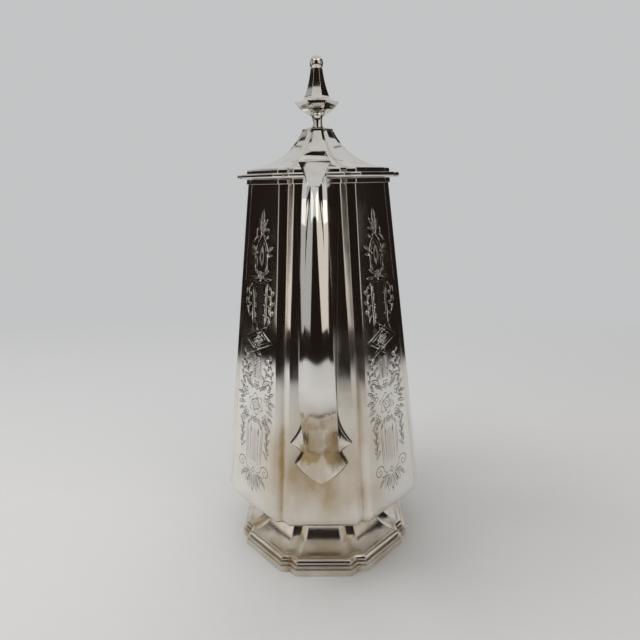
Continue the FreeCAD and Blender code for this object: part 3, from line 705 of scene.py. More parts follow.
def panels_tree():
    """Node tree that sets copies of one side round the upright axis and welds them."""
    tree = bpy.data.node_groups.new("sides_round_the_axis", "GeometryNodeTree")
    kinds = {"Side": "Geometry", "Copies": "Int", "First turn": "Float", "Turn between": "Float",
             "Weld distance": "Float", "Finish": "Material", "Cut finish": "Material"}
    for name, kind in kinds.items():
        tree.interface.new_socket(name, in_out="INPUT", socket_type="NodeSocket" + kind)
    tree.interface.new_socket("Form", in_out="OUTPUT", socket_type="NodeSocketGeometry")
    graph = Graph(tree)
    given = {name: graph.node("NodeGroupInput", output=name) for name in kinds}
    points = graph.node("GeometryNodePoints", None, {"Count": given["Copies"]})
    turn = given["First turn"] + graph.node("GeometryNodeInputIndex") * given["Turn between"]
    turned = graph.node("ShaderNodeCombineXYZ", None, {"Z": turn})
    placed = graph.node("GeometryNodeInstanceOnPoints", None,
                        {"Points": points, "Instance": given["Side"], "Rotation": turned})
    real = graph.node("GeometryNodeRealizeInstances", None, {0: placed})
    welded = graph.node("GeometryNodeMergeByDistance", None,
                        {"Geometry": real, "Distance": given["Weld distance"]})
    whole = graph.node("GeometryNodeSetMaterial", None, {"Geometry": welded, "Material": given["Finish"]})
    cut = graph.node("GeometryNodeInputNamedAttribute", {"data_type": "INT"}, {"Name": "cut"})
    graved = graph.node("GeometryNodeSetMaterial", None,
                        {"Geometry": whole, "Selection": cut, "Material": given["Cut finish"]})
    graph.node("NodeGroupOutput", None, {"Form": graved})
    return tree


def set_down(data):
    """A new object in the scene, named as its mesh, light or lens is."""
    made = bpy.data.objects.new(data.name, data)
    bpy.context.scene.collection.objects.link(made)
    return made


def round_the_axis(side, copies, first, between, finishes):
    """Copies of one side about the axis, as a plain mesh."""
    tree = bpy.data.node_groups.get("sides_round_the_axis") or panels_tree()
    carrier = set_down(side)
    maker = carrier.modifiers.new("sides", "NODES")
    maker.node_group = tree
    values = {"Copies": copies, "First turn": first, "Turn between": between, "Weld distance": WELD,
              "Finish": finishes[0], "Cut finish": finishes[-1]}
    for socket in tree.interface.items_tree:
        if socket.name in values:
            maker[socket.identifier] = values[socket.name]
    bpy.context.view_layer.update()
    mesh = bpy.data.meshes.new_from_object(carrier.evaluated_get(bpy.context.evaluated_depsgraph_get()))
    bpy.data.objects.remove(carrier)
    return mesh


def joined(name, meshes, finishes):
    """One closed mesh from several, welded, facing outwards and shaded smooth up to sharp edges."""
    form = bmesh.new()
    for mesh in meshes:
        form.from_mesh(mesh)
        bpy.data.meshes.remove(mesh)
    bmesh.ops.remove_doubles(form, verts=form.verts, dist=WELD)
    bmesh.ops.dissolve_degenerate(form, edges=form.edges, dist=WELD / 4.0)
    bmesh.ops.recalc_face_normals(form, faces=form.faces)
    cut_flag = form.faces.layers.int.get("cut")
    flat_flag = form.faces.layers.int.get("flat")
    for face in form.faces:
        face.material_index = min(face[cut_flag], len(finishes) - 1) if cut_flag else 0
        face.smooth = not (flat_flag and face[flat_flag])
    mesh = mesh_from(name, form)
    for finish in finishes:
        mesh.materials.append(finish)
    mesh.set_sharp_from_angle(angle=SHARP_EDGE)
    return mesh


def eight_sided(name, rows, finishes, outline):
    """A whole form of eight like sides from its rows."""
    side = sector(rows, outline)
    return joined(name, [round_the_axis(side, 8, 0.0, SIDE_TURN, finishes)], finishes)


def panelled(name, corners, notch, finishes, outline=None):
    """A whole form of eight like sides from its moulding's corners."""
    rows = [(out, up, notch) for out, up in eased(corners)]
    return eight_sided(name, rows, finishes, outline or panel_side())


def fitted(made, body, node):
    """Lets a piece ride on a body and stand for a CAD node."""
    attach(made, body)
    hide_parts(node)


def piece(mesh, body, node):
    """Shows a mesh, its flats shaded flat beside their rounded edges, in place of a CAD node."""
    made = set_down(mesh)
    weights = made.modifiers.new("flats_stay_flat", "WEIGHTED_NORMAL")
    weights.keep_sharp = True
    fitted(made, body, node)


def eased_copy(node, name, body, finish, width=None):
    """A copy of a CAD node with welded corners and eased edges, which stands for the node."""
    form = bmesh.new()
    form.from_mesh(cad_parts[node].data)
    bmesh.ops.remove_doubles(form, verts=form.verts, dist=WELD)
    bmesh.ops.dissolve_limit(form, angle_limit=SAME_FLAT, verts=form.verts, edges=form.edges)
    mesh = mesh_from(name, form)
    mesh.materials.clear()
    mesh.materials.append(finish)
    mesh.shade_smooth()
    made = set_down(mesh)
    ease = made.modifiers.new("eased_edges", "BEVEL")
    ease.width = width or bpy.context.scene.pot_work.plate_round
    ease.segments = 3
    ease.limit_method = "ANGLE"
    ease.angle_limit = SHARP_EDGE
    ease.harden_normals = True
    fitted(made, body, node)


def smoothed(name, form, finish):
    """A mesh of a form, facing outwards and shaded smooth up to sharp edges."""
    bmesh.ops.recalc_face_normals(form, faces=form.faces)
    for face in form.faces:
        face.smooth = True
    mesh = mesh_from(name, form)
    mesh.materials.append(finish)
    mesh.set_sharp_from_angle(angle=SHARP_EDGE)
    return mesh


# Engraved ornament: cuts are lists of (across, up, half width), in millimetres on the panel.

def half_cut(weight):
    """Half the width of a cut of a weight, where 1 is a full line."""
    return bpy.context.scene.pot_work.cut_width / MM / 2.0 * weight


def drawn(start, pull, end, weight=1.0, steps=7):
    """A tapered cut from start to end, drawn towards pull."""
    half = half_cut(weight)
    cut = []
    for count in range(steps + 1):
        share = count / steps
        spot = [a * (1 - share) ** 2 + p * 2 * share * (1 - share) + b * share ** 2
                for a, p, b in zip(start, pull, end)]
        cut.append((*spot, half * (0.3 + 0.7 * math.sin(math.pi * share))))
    return cut


def ruled(start, end, weight=1.0):
    """A straight cut."""
    return drawn(start, [(a + b) / 2.0 for a, b in zip(start, end)], end, weight, 4)


def leaf(root, tip, belly=0.28, bend=0.0):
    """A pointed leaf: two edges and a rib."""
    root, tip = Vector(root), Vector(tip)
    way = tip - root
    left = Vector((-way.y, way.x))
    middle = root + way * 0.45
    return [
        drawn(root, middle + left * (bend + belly), tip, 0.9),
        drawn(root, middle + left * (bend - belly), tip, 0.9),
        drawn(root, middle + left * bend * 0.8, root + way * 0.72, 0.6, 4),
    ]


def scroll(centre, radius, start, sweep, weight=1.0):
    """A curl that winds in from its outer end."""
    half = half_cut(weight)
    steps = 22
    cut = []
    for count in range(steps + 1):
        share = count / steps
        angle = start + sweep * share
        away = radius * (1.0 - 0.86 * share)
        cut.append((*round_about(centre, away, angle), half * (1.0 - 0.55 * share)))
    return cut


def round_about(centre, away, angle):
    """A place at a distance and an angle from a centre."""
    return centre[0] + away * math.cos(angle), centre[1] + away * math.sin(angle)


def blossom(centre, radius, petals, turn=0.0):
    """A flower of round petals about a ringed eye."""
    cuts = []
    for count in range(petals):
        first = turn + 2.0 * math.pi * count / petals
        second = turn + 2.0 * math.pi * (count + 1) / petals
        start, end = (round_about(centre, 0.72 * radius, angle) for angle in (first, second))
        pull = round_about(centre, 1.5 * radius, (first + second) / 2.0)
        cuts.append(drawn(start, pull, end, 0.9, 6))
        cuts.append(ruled(start, [c + 0.4 * (s - c) for c, s in zip(centre, start)], 0.6))
    cuts.append(ring_cut(centre, radius * 0.26))
    return cuts


def rose(centre):
    """An open rose: rings of lapped petals about a small heart."""
    cuts = [ring_cut(centre, 1.2), ring_cut(centre, 2.4, 1.1)]
    for radius, petals in ((3.6, 4), (5.4, 6)):
        cuts += blossom(centre, radius, petals, radius)[:-1:2]
    return cuts


def ring_cut(centre, radius, tall=1.0, weight=0.7):
    """A closed round or oval cut."""
    half = half_cut(weight)
    steps = 14
    angles = [2.0 * math.pi * count / steps for count in range(steps + 1)]
    return [(centre[0] + radius * math.cos(a), centre[1] + radius * tall * math.sin(a), half) for a in angles]


def hatched(width_at, low, high, gap):
    """Fine level cuts across a strip."""
    cuts = []
    for count in range(1, int((high - low) / gap)):
        up = low + count * gap
        reach = width_at(up)
        if reach > 0.2:
            cuts.append(ruled((-reach, up), (reach, up), 0.38))
    return cuts


def sprig(foot, top, leaves, size, side):
    """A waving stem with a leaf to each side in turn."""
    sway = 0.9 * side
    cuts = [drawn(foot, ((foot[0] + top[0]) / 2.0 + sway, (foot[1] + top[1]) / 2.0), top, 0.8)]
    for count in range(leaves):
        share = (count + 0.6) / leaves
        root = [a + (b - a) * share for a, b in zip(foot, top)]
        root[0] += sway * 2.0 * share * (1.0 - share)
        lean = size * (1.0 if count % 2 else -1.0)
        cuts += leaf(root, (root[0] + lean, root[1] + 0.95 * size), 0.3)[:2]
    return cuts


def mirrored_cuts(cuts):
    """The cuts and their mirror image."""
    return cuts + [[(-across, up, half) for across, up, half in cut] for cut in cuts]


def angular_knot(centre):
    """Two bent ribbons that lock into a lozenge."""
    ribbon = []
    for top, bend, foot, weight in (
        ((6.0, 7.9), (-11.2, 0.0), (1.4, -7.9), 1.1),
        ((6.0, 5.9), (-7.6, -0.2), (1.4, -5.7), 0.9),
        ((4.6, 2.5), (-3.9, -0.4), (0.8, -3.3), 0.8),
    ):
        ribbon += [ruled(top, bend, weight), ruled(bend, foot, weight)]
    ribbon += [ruled((6.0, 7.9), (6.0, 5.9), 0.8), ruled((1.4, -7.9), (1.4, -5.7), 0.8)]
    middle, base = centre
    cuts = []
    for turn in (1.0, -1.0):
        for cut in ribbon:
            cuts.append([(middle + turn * across, base + turn * up, half) for across, up, half in cut])
    return cuts


def panel_ornament():
    """The upright ornament of a diagonal panel, from the leaf at its top to the spray at its foot."""
    both = [
        # leaves at the top
        *leaf((0.5, 181.6), (3.5, 186.4), 0.3, 0.18),
        *leaf((0.5, 180.4), (4.6, 181.8), 0.3, 0.2),
        drawn((0.6, 179.2), (3.0, 177.2), (4.4, 179.0)),
        scroll((4.0, 178.0), 0.9, 1.6, -5.0),
        # pointed frame round a lens
        ruled((4.5, 161.2), (4.5, 170.6)),
        drawn((4.5, 170.6), (4.4, 175.0), (0.0, 179.0)),
        ruled((3.3, 161.8), (3.3, 169.8), 0.7),
        drawn((3.3, 169.8), (3.1, 173.6), (0.0, 176.8), 0.7),
        drawn((0.0, 163.6), (2.9, 168.6), (0.0, 174.4), 0.9),
        drawn((0.0, 165.2), (1.8, 168.7), (0.0, 172.6), 0.6),
        *leaf((4.8, 171.0), (8.4, 173.8), 0.34, 0.12),
        *leaf((4.8, 170.2), (8.0, 169.6), 0.32, -0.15),
        *leaf((1.7, 159.6), (6.0, 162.4), 0.3, 0.14),
        *leaf((1.8, 158.6), (8.2, 158.4), 0.24, -0.12),
        # tall hatched frame with a sprig at each side
        ruled((5.4, 134.6), (5.4, 156.4)),
        ruled((4.3, 135.2), (4.3, 155.6), 0.75),
        ruled((0.0, 156.4), (5.4, 156.4)),
        ruled((0.0, 155.6), (4.3, 155.6), 0.75),
        *sprig((8.3, 137.0), (8.6, 154.0), 7, 2.2, 1.0),
        # short stem under the knot
        ruled((2.6, 106.8), (2.6, 120.4), 0.8),
        ruled((3.5, 106.4), (3.5, 120.6), 0.6),
        *sprig((5.6, 106.6), (9.4, 119.4), 6, 2.4, 1.0),
        *leaf((4.4, 104.4), (10.8, 108.4), 0.3, 0.16),
        # flowers and leaves about the rose
        *blossom((9.2, 98.8), 2.8, 5, 0.4),
        *blossom((8.2, 87.8), 2.4, 5, 1.0),
        *leaf((9.6, 100.0), (14.0, 103.0), 0.3, 0.1),
        *leaf((10.2, 97.6), (15.4, 97.2), 0.28, -0.1),
        *leaf((8.6, 92.6), (14.6, 91.2), 0.28, 0.12),
        *leaf((8.0, 87.0), (12.4, 83.4), 0.3, -0.12),
        *leaf((3.0, 101.4), (5.6, 104.8), 0.3, 0.1),
        *leaf((2.6, 87.0), (3.6, 83.4), 0.3, 0.0),
        # column
        drawn((6.6, 82.0), (6.2, 72.0), (5.9, 62.2)),
        drawn((5.5, 82.0), (5.1, 72.0), (4.8, 62.2), 0.75),
        ruled((3.2, 62.2), (3.3, 82.0), 0.75),
        *sprig((9.2, 67.4), (10.4, 82.6), 6, 2.2, 1.0),
        # curls and spray at the foot
        scroll((9.6, 59.2), 3.6, 2.6, -8.2, 1.2),
        drawn((6.5, 61.1), (6.0, 56.4), (1.6, 57.2)),
        drawn((9.4, 56.6), (6.0, 55.0), (2.2, 56.0), 0.8),
        *leaf((1.2, 55.4), (3.4, 46.4), 0.26, 0.12),
        *leaf((2.4, 55.8), (6.4, 48.8), 0.26, 0.14),
        *leaf((3.6, 56.2), (8.8, 52.6), 0.28, 0.16),
        # outer sprigs and small leaves
        *sprig((9.6, 84.0), (11.2, 66.4), 7, 1.5, -0.6),
        *sprig((11.0, 104.0), (11.6, 116.0), 5, 1.6, 0.6),
        *leaf((4.6, 103.0), (8.2, 105.2), 0.32, -0.1),
        *leaf((9.6, 95.4), (13.2, 94.2), 0.3, 0.1),
        *leaf((5.0, 86.4), (8.4, 84.0), 0.32, 0.1),
        *leaf((4.6, 84.4), (5.8, 81.4), 0.3, 0.0),
        *leaf((9.2, 102.2), (12.0, 105.8), 0.3, 0.14),
        *leaf((10.6, 90.0), (13.8, 87.6), 0.3, -0.1),
        *leaf((2.4, 53.8), (4.6, 49.4), 0.28, -0.1),
        *leaf((6.8, 54.4), (10.4, 50.6), 0.28, 0.14),
    ]
    middle = [
        *angular_knot((0.0, 127.5)),
        *leaf((0.0, 181.4), (0.0, 191.6), 0.2),
        *leaf((0.0, 55.0), (0.0, 44.8), 0.2),
        ring_cut((0.0, 57.6), 0.9, 1.7),
        ring_cut((0.0, 180.0), 0.8),
        *blossom((0.0, 159.4), 2.1, 6),
        *hatched(lambda up: 3.7, 135.6, 155.2, 0.72),
        *hatched(lambda up: 3.2 * (1.0 - abs(up - 127.5) / 2.6), 125.2, 129.8, 0.55),
        *hatched(lambda up: 2.1, 106.8, 119.4, 0.8),
        *hatched(lambda up: 2.7, 62.4, 81.6, 0.74),
        *blossom((0.0, 104.0), 2.3, 5, 0.3),
        *rose((0.0, 94.0)),
        *blossom((0.0, 85.6), 1.7, 5, 0.9),
    ]
    return mirrored_cuts(both) + middle


def plate_seams_and_shadow():
    """The soldered seam round the shield and the ears on the handle's panel, a wide dark cut; along the
    shield's lower edges it lies below the plate as a painted shadow.
    """
    # The tip and the shoulder sit below the shield's edge, so the dark cut there is a painted shadow under
    # the plate.
    tip, shoulder, neck = (Vector(spot) for spot in ((0.0, 59.8), (13.0, 70.4), (7.5, 81.5)))
    ear_foot, ear_tip, ear_top = (Vector(spot) for spot in ((7.5, 74.0), (15.0, 80.5), (7.5, 100.0)))
    seams_and_shadow = []
    for start, end, bow in ((tip, shoulder, -1.2), (shoulder, neck, 1.2),
                            (ear_foot, ear_tip, 0.8), (ear_tip, ear_top, 2.4)):
        way = end - start
        pull = (start + end) / 2.0 + Vector((-way.y, way.x)).normalized() * 2.0 * bow
        seams_and_shadow.append(drawn(start, pull, end, 5.0, 10))
    return mirrored_cuts(seams_and_shadow)


def body_rows(wall):
    """Places up the body's side, drawn in by a wall: sloping bottom, rounded turn, straight taper."""
    start = Vector((NECK_OUT, BODY_BASE + wall / math.cos(BOTTOM_SLOPE)))
    shift = wall / math.cos(SIDE_ANGLE)
    across = side_out(start.y) - shift - start.x
    far = across / (1.0 + SIDE_LEAN * math.tan(BOTTOM_SLOPE))
    corner = start + Vector((far, far * math.tan(BOTTOM_SLOPE)))
    end = Vector((BODY_TOP_OUT - shift, BODY_TOP))
    radius = BOTTOM_RADIUS - wall
    half = (start - corner).angle(end - corner) / 2.0
    lead = radius / math.tan(half)
    first = corner + (start - corner).normalized() * lead
    last = corner + (end - corner).normalized() * lead
    sag = radius * (1.0 - math.sin(half))
    return [tuple(start)] + bowed(first, last, -sag, 14) + [tuple(end)]


def cut_oblong(wide, tall, cut):
    """The eight corners of an oblong with its corners cut off, from its half sizes."""
    quarter = [(wide, tall - cut), (wide - cut, tall)]
    half = quarter + [(-across, up) for across, up in quarter[::-1]]
    return half + [(-across, -up) for across, up in half]


def spout_hole():
    """Corners of the opening behind the spout, on its panel."""
    middle = 82.9
    return [(across, middle + up) for across, up in cut_oblong(wide=11.9, tall=18.4, cut=6.9)]


class COFFEEPOT_OT_foot(bpy.types.Operator):
    """Builds the stepped base moulding and the hollow sweep above it"""

    bl_idname = "coffeepot.foot"
    bl_label = "Foot"

    def execute(self, context):
        silver = [finish_named("bright_silver")]
        bead_low, bead_high = (FOOT_BEAD_OUT, FOOT_EDGE_TOP), (FOOT_BEAD_OUT, FOOT_BEAD_TOP)
        step_low, step_high = (FOOT_STEP_OUT, FOOT_BEAD_TOP), (FOOT_STEP_OUT, FOOT_STEP_TOP)
        corners = [(FOOT_OUT, 0.0, 0.3), (FOOT_OUT, FOOT_EDGE_TOP, 0.35)]
        corners += plain(bowed(bead_low, bead_high, -0.7, 8))
        corners += [(*step_low, 0.0), (*step_high, 0.12)]
        corners += plain(bowed(step_high, (FOOT_TOP_OUT, FOOT_TOP), -0.7, 7)[1:])
        corners += [(FOOT_INNER_OUT, FOOT_TOP, 0.1), (FOOT_INNER_OUT, 0.0, 0.3)]
        rim = panelled("base_moulding", corners, FOOT_NOTCH, silver)
        piece(rim, "pot", "foot_rim")

        low, high = (SWEEP_OUT, FOOT_TOP), (NECK_OUT, SWEEP_TOP)
        low_inner, high_inner = ([size - SWEEP_WALL for size in place] for place in (low, high))
        inner = [place for place in bowed(high_inner, low_inner, -SWEEP_BOW, 16) if place[1] > FOOT_TOP]
        corners = bowed(low, high, SWEEP_BOW, 16) + [(NECK_OUT, BODY_BASE), (high_inner[0], BODY_BASE)]
        corners = plain(corners + inner + [(inner[-1][0] + 0.9, FOOT_TOP)])
        sweep = panelled("base_sweep", corners, FOOT_NOTCH, silver)
        piece(sweep, "pot", "foot_cove")
        return {"FINISHED"}


class COFFEEPOT_OT_body(bpy.types.Operator):
    """Builds the eight-panelled body with its engraved panels, and the band round its mouth"""

    bl_idname = "coffeepot.body"
    bl_label = "Body"

    def execute(self, context):
        finishes = [finish_named("bright_silver"), finish_named("graved_silver")]
        outer = body_rows(0.0)
        inner = body_rows(BODY_WALL)[::-1]
        rows = [(out, up, BODY_NOTCH) for out, up in outer + inner]
        last = len(outer) - 1
        outline = panel_side()
        graved = [(last - 1, last, panel_ornament(), None)]
        # The seam's dark cut also paints the shadow under the shield's lower edges.
        seamed_and_shaded = [(last - 1, last, plate_seams_and_shadow(), None)]
        hole = spout_hole()
        pierced = [(last - 1, last, [], hole), (last + 1, last + 2, [], hole)]
        quarter = 2.0 * SIDE_TURN
        sides = [
            round_the_axis(sector(rows, outline, sheets), copies, first, turn, finishes)
            for sheets, copies, first, turn in (
                ((), 2, quarter, 2.0 * quarter),
                (seamed_and_shaded, 1, 2.0 * quarter, quarter),
                (graved, 4, SIDE_TURN, quarter),
                (pierced, 1, 0.0, quarter),
            )
        ]
        piece(joined("panelled_body", sides, finishes), "pot", "body_shell")

        base_out = side_out(BAND_BASE)
        corners = [
            (base_out + BAND_PROUD, BAND_BASE, 0.25), (BODY_TOP_OUT + BAND_PROUD, BAND_TOP, 0.3),
            (MOUTH_OUT, BAND_TOP, 0.2), (MOUTH_OUT, BODY_TOP, 0.0),
            (BODY_TOP_OUT, BODY_TOP, 0.0), (base_out, BAND_BASE, 0.0),
        ]
        band = panelled("mouth_band", corners, BODY_NOTCH, finishes[:1])
        piece(band, "pot", "mouth_rim")
        return {"FINISHED"}


class COFFEEPOT_OT_lid(bpy.types.Operator):
    """Builds the lid's flange, step and concave dome"""

    bl_idname = "coffeepot.lid"
    bl_label = "Lid"

    def execute(self, context):
        silver = [finish_named("bright_silver")]
        nose = bowed((PLATE_OUT, PLATE_BASE), (PLATE_OUT, PLATE_TOP), -PLATE_NOSE, 8)
        flange = panelled("lid_plate", bored(nose, PLATE_INNER_OUT), LID_NOTCH, silver)
        piece(flange, "lid", "lid_flange")

        shoulder = (STEP_OUT, STEP_TOP - STEP_EDGE)
        corners = [(STEP_OUT, PLATE_TOP, 0.0), (*shoulder, 0.2)]
        corners += plain(bowed(shoulder, (STEP_OUT - STEP_EDGE, STEP_TOP), -0.24, 6)[1:])
        corners += [(STEP_INNER_OUT, STEP_TOP, 0.0), (STEP_INNER_OUT, PLATE_TOP, 0.0)]
        step = panelled("lid_moulding", corners, LID_NOTCH, silver)
        piece(step, "lid", "lid_step")

        steps = 20
        outer = bowed((DOME_OUT, STEP_TOP), (DOME_TOP_OUT, DOME_TOP), DOME_BOW, steps)
        inner = [(out - DOME_WALL, max(up - DOME_WALL, STEP_TOP)) for out, up in outer[::-1]]
        narrowing = [LID_NOTCH + (DOME_TOP_NOTCH - LID_NOTCH) * count / steps for count in range(steps + 1)]
        rows = [(*place, notch) for place, notch in zip(outer, narrowing)]
        rows += [(DOME_HOLE_OUT, up, 0.3) for up in (DOME_TOP, DOME_TOP - DOME_WALL)]
        rows += [(*place, notch) for place, notch in zip(inner, narrowing[::-1])]
        dome = eight_sided("lid_dome_cover", rows, silver, panel_side())
        piece(dome, "lid", "lid_dome")
        return {"FINISHED"}


class COFFEEPOT_OT_finial(bpy.types.Operator):
    """Builds the finial: collar, stem, cup, cap, spire and ball"""

    bl_idname = "coffeepot.finial"
    bl_label = "Finial"

    def execute(self, context):
        silver = [finish_named("bright_silver")]
        eight = plain_side(0.22)
        turned = round_side()
        collar = [
            (COLLAR_OUT, DOME_TOP, 0.0), (COLLAR_OUT, DOME_TOP + COLLAR_EDGE, 0.25),
            (COLLAR_TOP_OUT, COLLAR_TOP, 0.12), (STUD_HOLE, COLLAR_TOP, 0.0), (STUD_HOLE, DOME_TOP, 0.0),
        ]
        stem = bored(bowed((STEM_OUT, COLLAR_TOP), (STEM_OUT, STEM_TOP), 0.5, 10), STUD_HOLE)
        cup = bored(bowed((CUP_BASE_OUT, STEM_TOP), (CUP_OUT, CUP_TOP), -0.7, 12), STUD_HOLE)
        cap = bored(bowed((CUP_OUT, CUP_TOP), (CAP_TOP_OUT, CAP_TOP), 1.1, 12), FINE_HOLE)
        spire = bored(bowed((CAP_TOP_OUT, CAP_TOP), (SPIRE_TOP_OUT, SPIRE_TOP), 0.35, 10), FINE_HOLE)
        seat = math.asin((SPIRE_TOP - BALL_MIDDLE) / BALL_RADIUS)
        angles = [seat + (math.pi / 2.0 - seat) * count / 20 for count in range(20)]
        ball = [round_about((0.0, BALL_MIDDLE), BALL_RADIUS, angle) for angle in angles]
        ball = plain(ball + [(0.01, BALL_TOP), (0.01, SPIRE_TOP)])
        for name, corners, outline, node in (
            ("finial_ring", collar, eight, "finial_collar"),
            ("finial_neck", stem, turned, "finial_stem"),
            ("finial_bowl", cup, eight, "finial_cup"),
            ("finial_roof", cap, eight, "finial_cap"),
            ("finial_point", spire, eight, "finial_spire"),
            ("finial_bead", ball, turned, "finial_ball"),
        ):
            mesh = panelled(name, corners, 0.0, silver, outline)
            piece(mesh, "lid", node)
        return {"FINISHED"}


def arc_through(first, second, third):
    """Centre and radius of the circle through three places."""
    (ax, ay), (bx, by), (cx, cy) = first, second, third
    twice = 2.0 * (ax * (by - cy) + bx * (cy - ay) + cx * (ay - by))
    squares = [x * x + y * y for x, y in (first, second, third)]
    centre = Vector((
        (squares[0] * (by - cy) + squares[1] * (cy - ay) + squares[2] * (ay - by)) / twice,
        (squares[0] * (cx - bx) + squares[1] * (ax - cx) + squares[2] * (bx - ax)) / twice,
    ))
    return centre, (centre - Vector(first)).length


def bent(start, start_way, end, end_way, pull, steps):
    """Places along a smooth curve that leaves and arrives along two ways."""
    poles = [Vector(start), Vector(start) + start_way * pull, Vector(end) - end_way * pull, Vector(end)]
    return [spot.to_2d() for spot in interpolate_bezier(*[pole.to_3d() for pole in poles], steps + 1)]


def strap_line(depth):
    """Places along the handle from the arm's root to the shield, at a depth under its outer face."""
    away = Vector((-math.cos(ARM_RISE), math.sin(ARM_RISE)))
    lowered = depth / math.cos(ARM_RISE)
    root = Vector(ARM_ROOT)
    corner = Vector((-ARM_CORNER_OUT, root.y + (ARM_CORNER_OUT + root.x) * math.tan(ARM_RISE)))
    start = root - Vector((0.0, lowered))
    lead = ARM_CORNER_LEAD - depth / 2.0
    before = Vector((corner.x + depth, corner.y - lowered - depth * math.tan(ARM_RISE))) - away * lead
    drop = corner - BOW_CORNER_LEAD * Vector((math.sin(BOW_TOP_LEAN), math.cos(BOW_TOP_LEAN)))
    spots = [drop, Vector(STRAP_BELLY), Vector(STRAP_BEND)]
    centre, radius = arc_through(*spots)
    ways = [(spot - centre).normalized() for spot in spots]
    ends = [centre + way * (radius - depth) for way in ways]
    heads = [Vector((-way.y, way.x)) for way in ways]
    share = depth / HANDLE_THICK
    landing = SHIELD_SHOULDER + share * (SHIELD_TOP - SHIELD_SHOULDER)
    proud = SHIELD_PROUD - share * (SHIELD_PROUD + STRAP_SINK)
    end = Vector((-side_out(landing) - proud * math.cos(SIDE_ANGLE), landing + proud * math.sin(SIDE_ANGLE)))
    fall = share * STRAP_LANDING_TURN
    into = Vector((math.sin(fall) - SIDE_LEAN * (1.0 - share), -math.cos(fall)))
    sweep = (ends[2] - end).length
    first, last = (math.atan2(way.y, way.x) % (2.0 * math.pi) for way in (ways[0], ways[2]))
    line = [start.lerp(before, count / 10) for count in range(10)]
    line += bent(before, away, ends[0], heads[0], lead * STRAP_CORNER_PULL, 24)[:-1]
    for count in range(50):
        angle = first + (last - first) * count / 50
        line.append(centre + Vector((math.cos(angle), math.sin(angle))) * (radius - depth))
    line += bent(ends[2], heads[2], end, into, sweep * STRAP_LANDING_PULL, 40)
    return line


def strap_half(up):
    """Half the strap's width at a height."""
    top = ARM_ROOT[1] + (ARM_CORNER_OUT + ARM_ROOT[0]) * math.tan(ARM_RISE)
    share = (top - up) / (top - SHIELD_SHOULDER)
    return (STRAP_TOP_WIDTH + (STRAP_FOOT_WIDTH - STRAP_TOP_WIDTH) * share) / 2.0


def strap_section(crown):
    """Points round the strap: (depth, share of the half width to one side, millimetres drawn in)."""
    soft = 0.22
    upper = [(crown * share * share, share, HANDLE_BEVEL) for share in (0.25, 0.5, 0.75, 0.96)]
    upper += [(crown + 0.5 * soft, 1.0, HANDLE_BEVEL - 0.5 * soft), (HANDLE_BEVEL - soft, 1.0, soft),
              (HANDLE_BEVEL, 1.0, 0.3 * soft), (HANDLE_BEVEL + soft, 1.0, 0.0)]
    lower = [(HANDLE_THICK - depth, share, drawn_in) for depth, share, drawn_in in upper[::-1]]
    right = upper + [(HANDLE_THICK / 2.0, 1.0, 0.0)] + lower
    left = [(depth, -share, drawn_in) for depth, share, drawn_in in right[::-1]]
    return [(0.0, 0.0, HANDLE_BEVEL)] + right + [(HANDLE_THICK, 0.0, HANDLE_BEVEL)] + left


def strap_mesh(crown, finish):
    """The handle's strap: a bevelled, slightly crowned bar along its line."""
    section = strap_section(crown)
    lines = {depth: strap_line(depth) for depth in {spot[0] for spot in section}}
    form = bmesh.new()
    rings = []
    for index in range(len(lines[0.0])):
        ring = []
        for depth, share, drawn_in in section:
            place = lines[depth][index]
            across = share * (strap_half(place.y) - drawn_in)
            ring.append(form.verts.new((place.x * MM, across * MM, place.y * MM)))
        rings.append(ring)
    skin(form, rings)
    form.faces.new(rings[0])
    form.faces.new(rings[-1])
    return smoothed("handle_strap", form, finish)


class COFFEEPOT_OT_handle(bpy.types.Operator):
    """Builds the handle's strap and eases the edges of the plates and blocks that hold it"""

    bl_idname = "coffeepot.handle"
    bl_label = "Handle"

    def execute(self, context):
        silver = finish_named("handled_silver")
        strap = strap_mesh(context.scene.pot_work.strap_crown / MM, silver)
        piece(strap, "pot", "handle_grip")
        edge = context.scene.pot_work.plate_round
        for node, name, width in (
            ("handle_spur", "thumb_rest", edge * 3.0),
            ("handle_upper_socket", "arm_socket", edge),
            ("handle_lower_shield", "handle_shield", edge * 1.6),
            ("handle_lower_ears", "handle_ears", edge * 1.2),
        ):
            eased_copy(node, name, "pot", silver, width)
        return {"FINISHED"}


class COFFEEPOT_OT_hinge(bpy.types.Operator):
    """Eases the edges of the hinge's knuckles"""

    bl_idname = "coffeepot.hinge"
    bl_label = "Hinge"

    def execute(self, context):
        silver = finish_named("bright_silver")
        fine = context.scene.pot_work.plate_round * 0.4
        eased_copy("hinge_body_knuckles", "pot_knuckles", "pot", silver, fine)
        eased_copy("hinge_lid_knuckles", "lid_knuckles", "lid", silver, fine)
        return {"FINISHED"}


def spout_section(place, wall, soft):
    """Corners of the spout's eight-sided section, each eased, as (over, side)."""
    depth, width = place[3] / 2.0 - wall, place[4] / 2.0 - wall
    corners = cut_oblong(depth, width, min(depth, width) * 2.0 * SPOUT_CORNER)
    return eased([(over, side, soft) for over, side in corners], 3)


def spout_stations():
    """Close-set places along the spout."""
    stations = []
    steps = 18
    for first, second in zip(SPOUT_PLACES, SPOUT_PLACES[1:]):
        headings = [math.radians(place[2]) for place in (first, second)]
        ways = [Vector((math.cos(heading), math.sin(heading))) for heading in headings]
        pull = math.hypot(second[0] - first[0], second[1] - first[1]) / 3.0
        line = bent(first[:2], ways[0], second[:2], ways[1], pull, steps)
        for count, spot in enumerate(line[:-1]):
            share = count / steps
            after = line[count + 1] - spot
            heading = math.degrees(math.atan2(after.y, after.x)) if count else first[2]
            depth, width = (first[size] + (second[size] - first[size]) * share for size in (3, 4))
            stations.append((spot.x, spot.y, heading, depth, width))
    return stations + [SPOUT_PLACES[-1]]


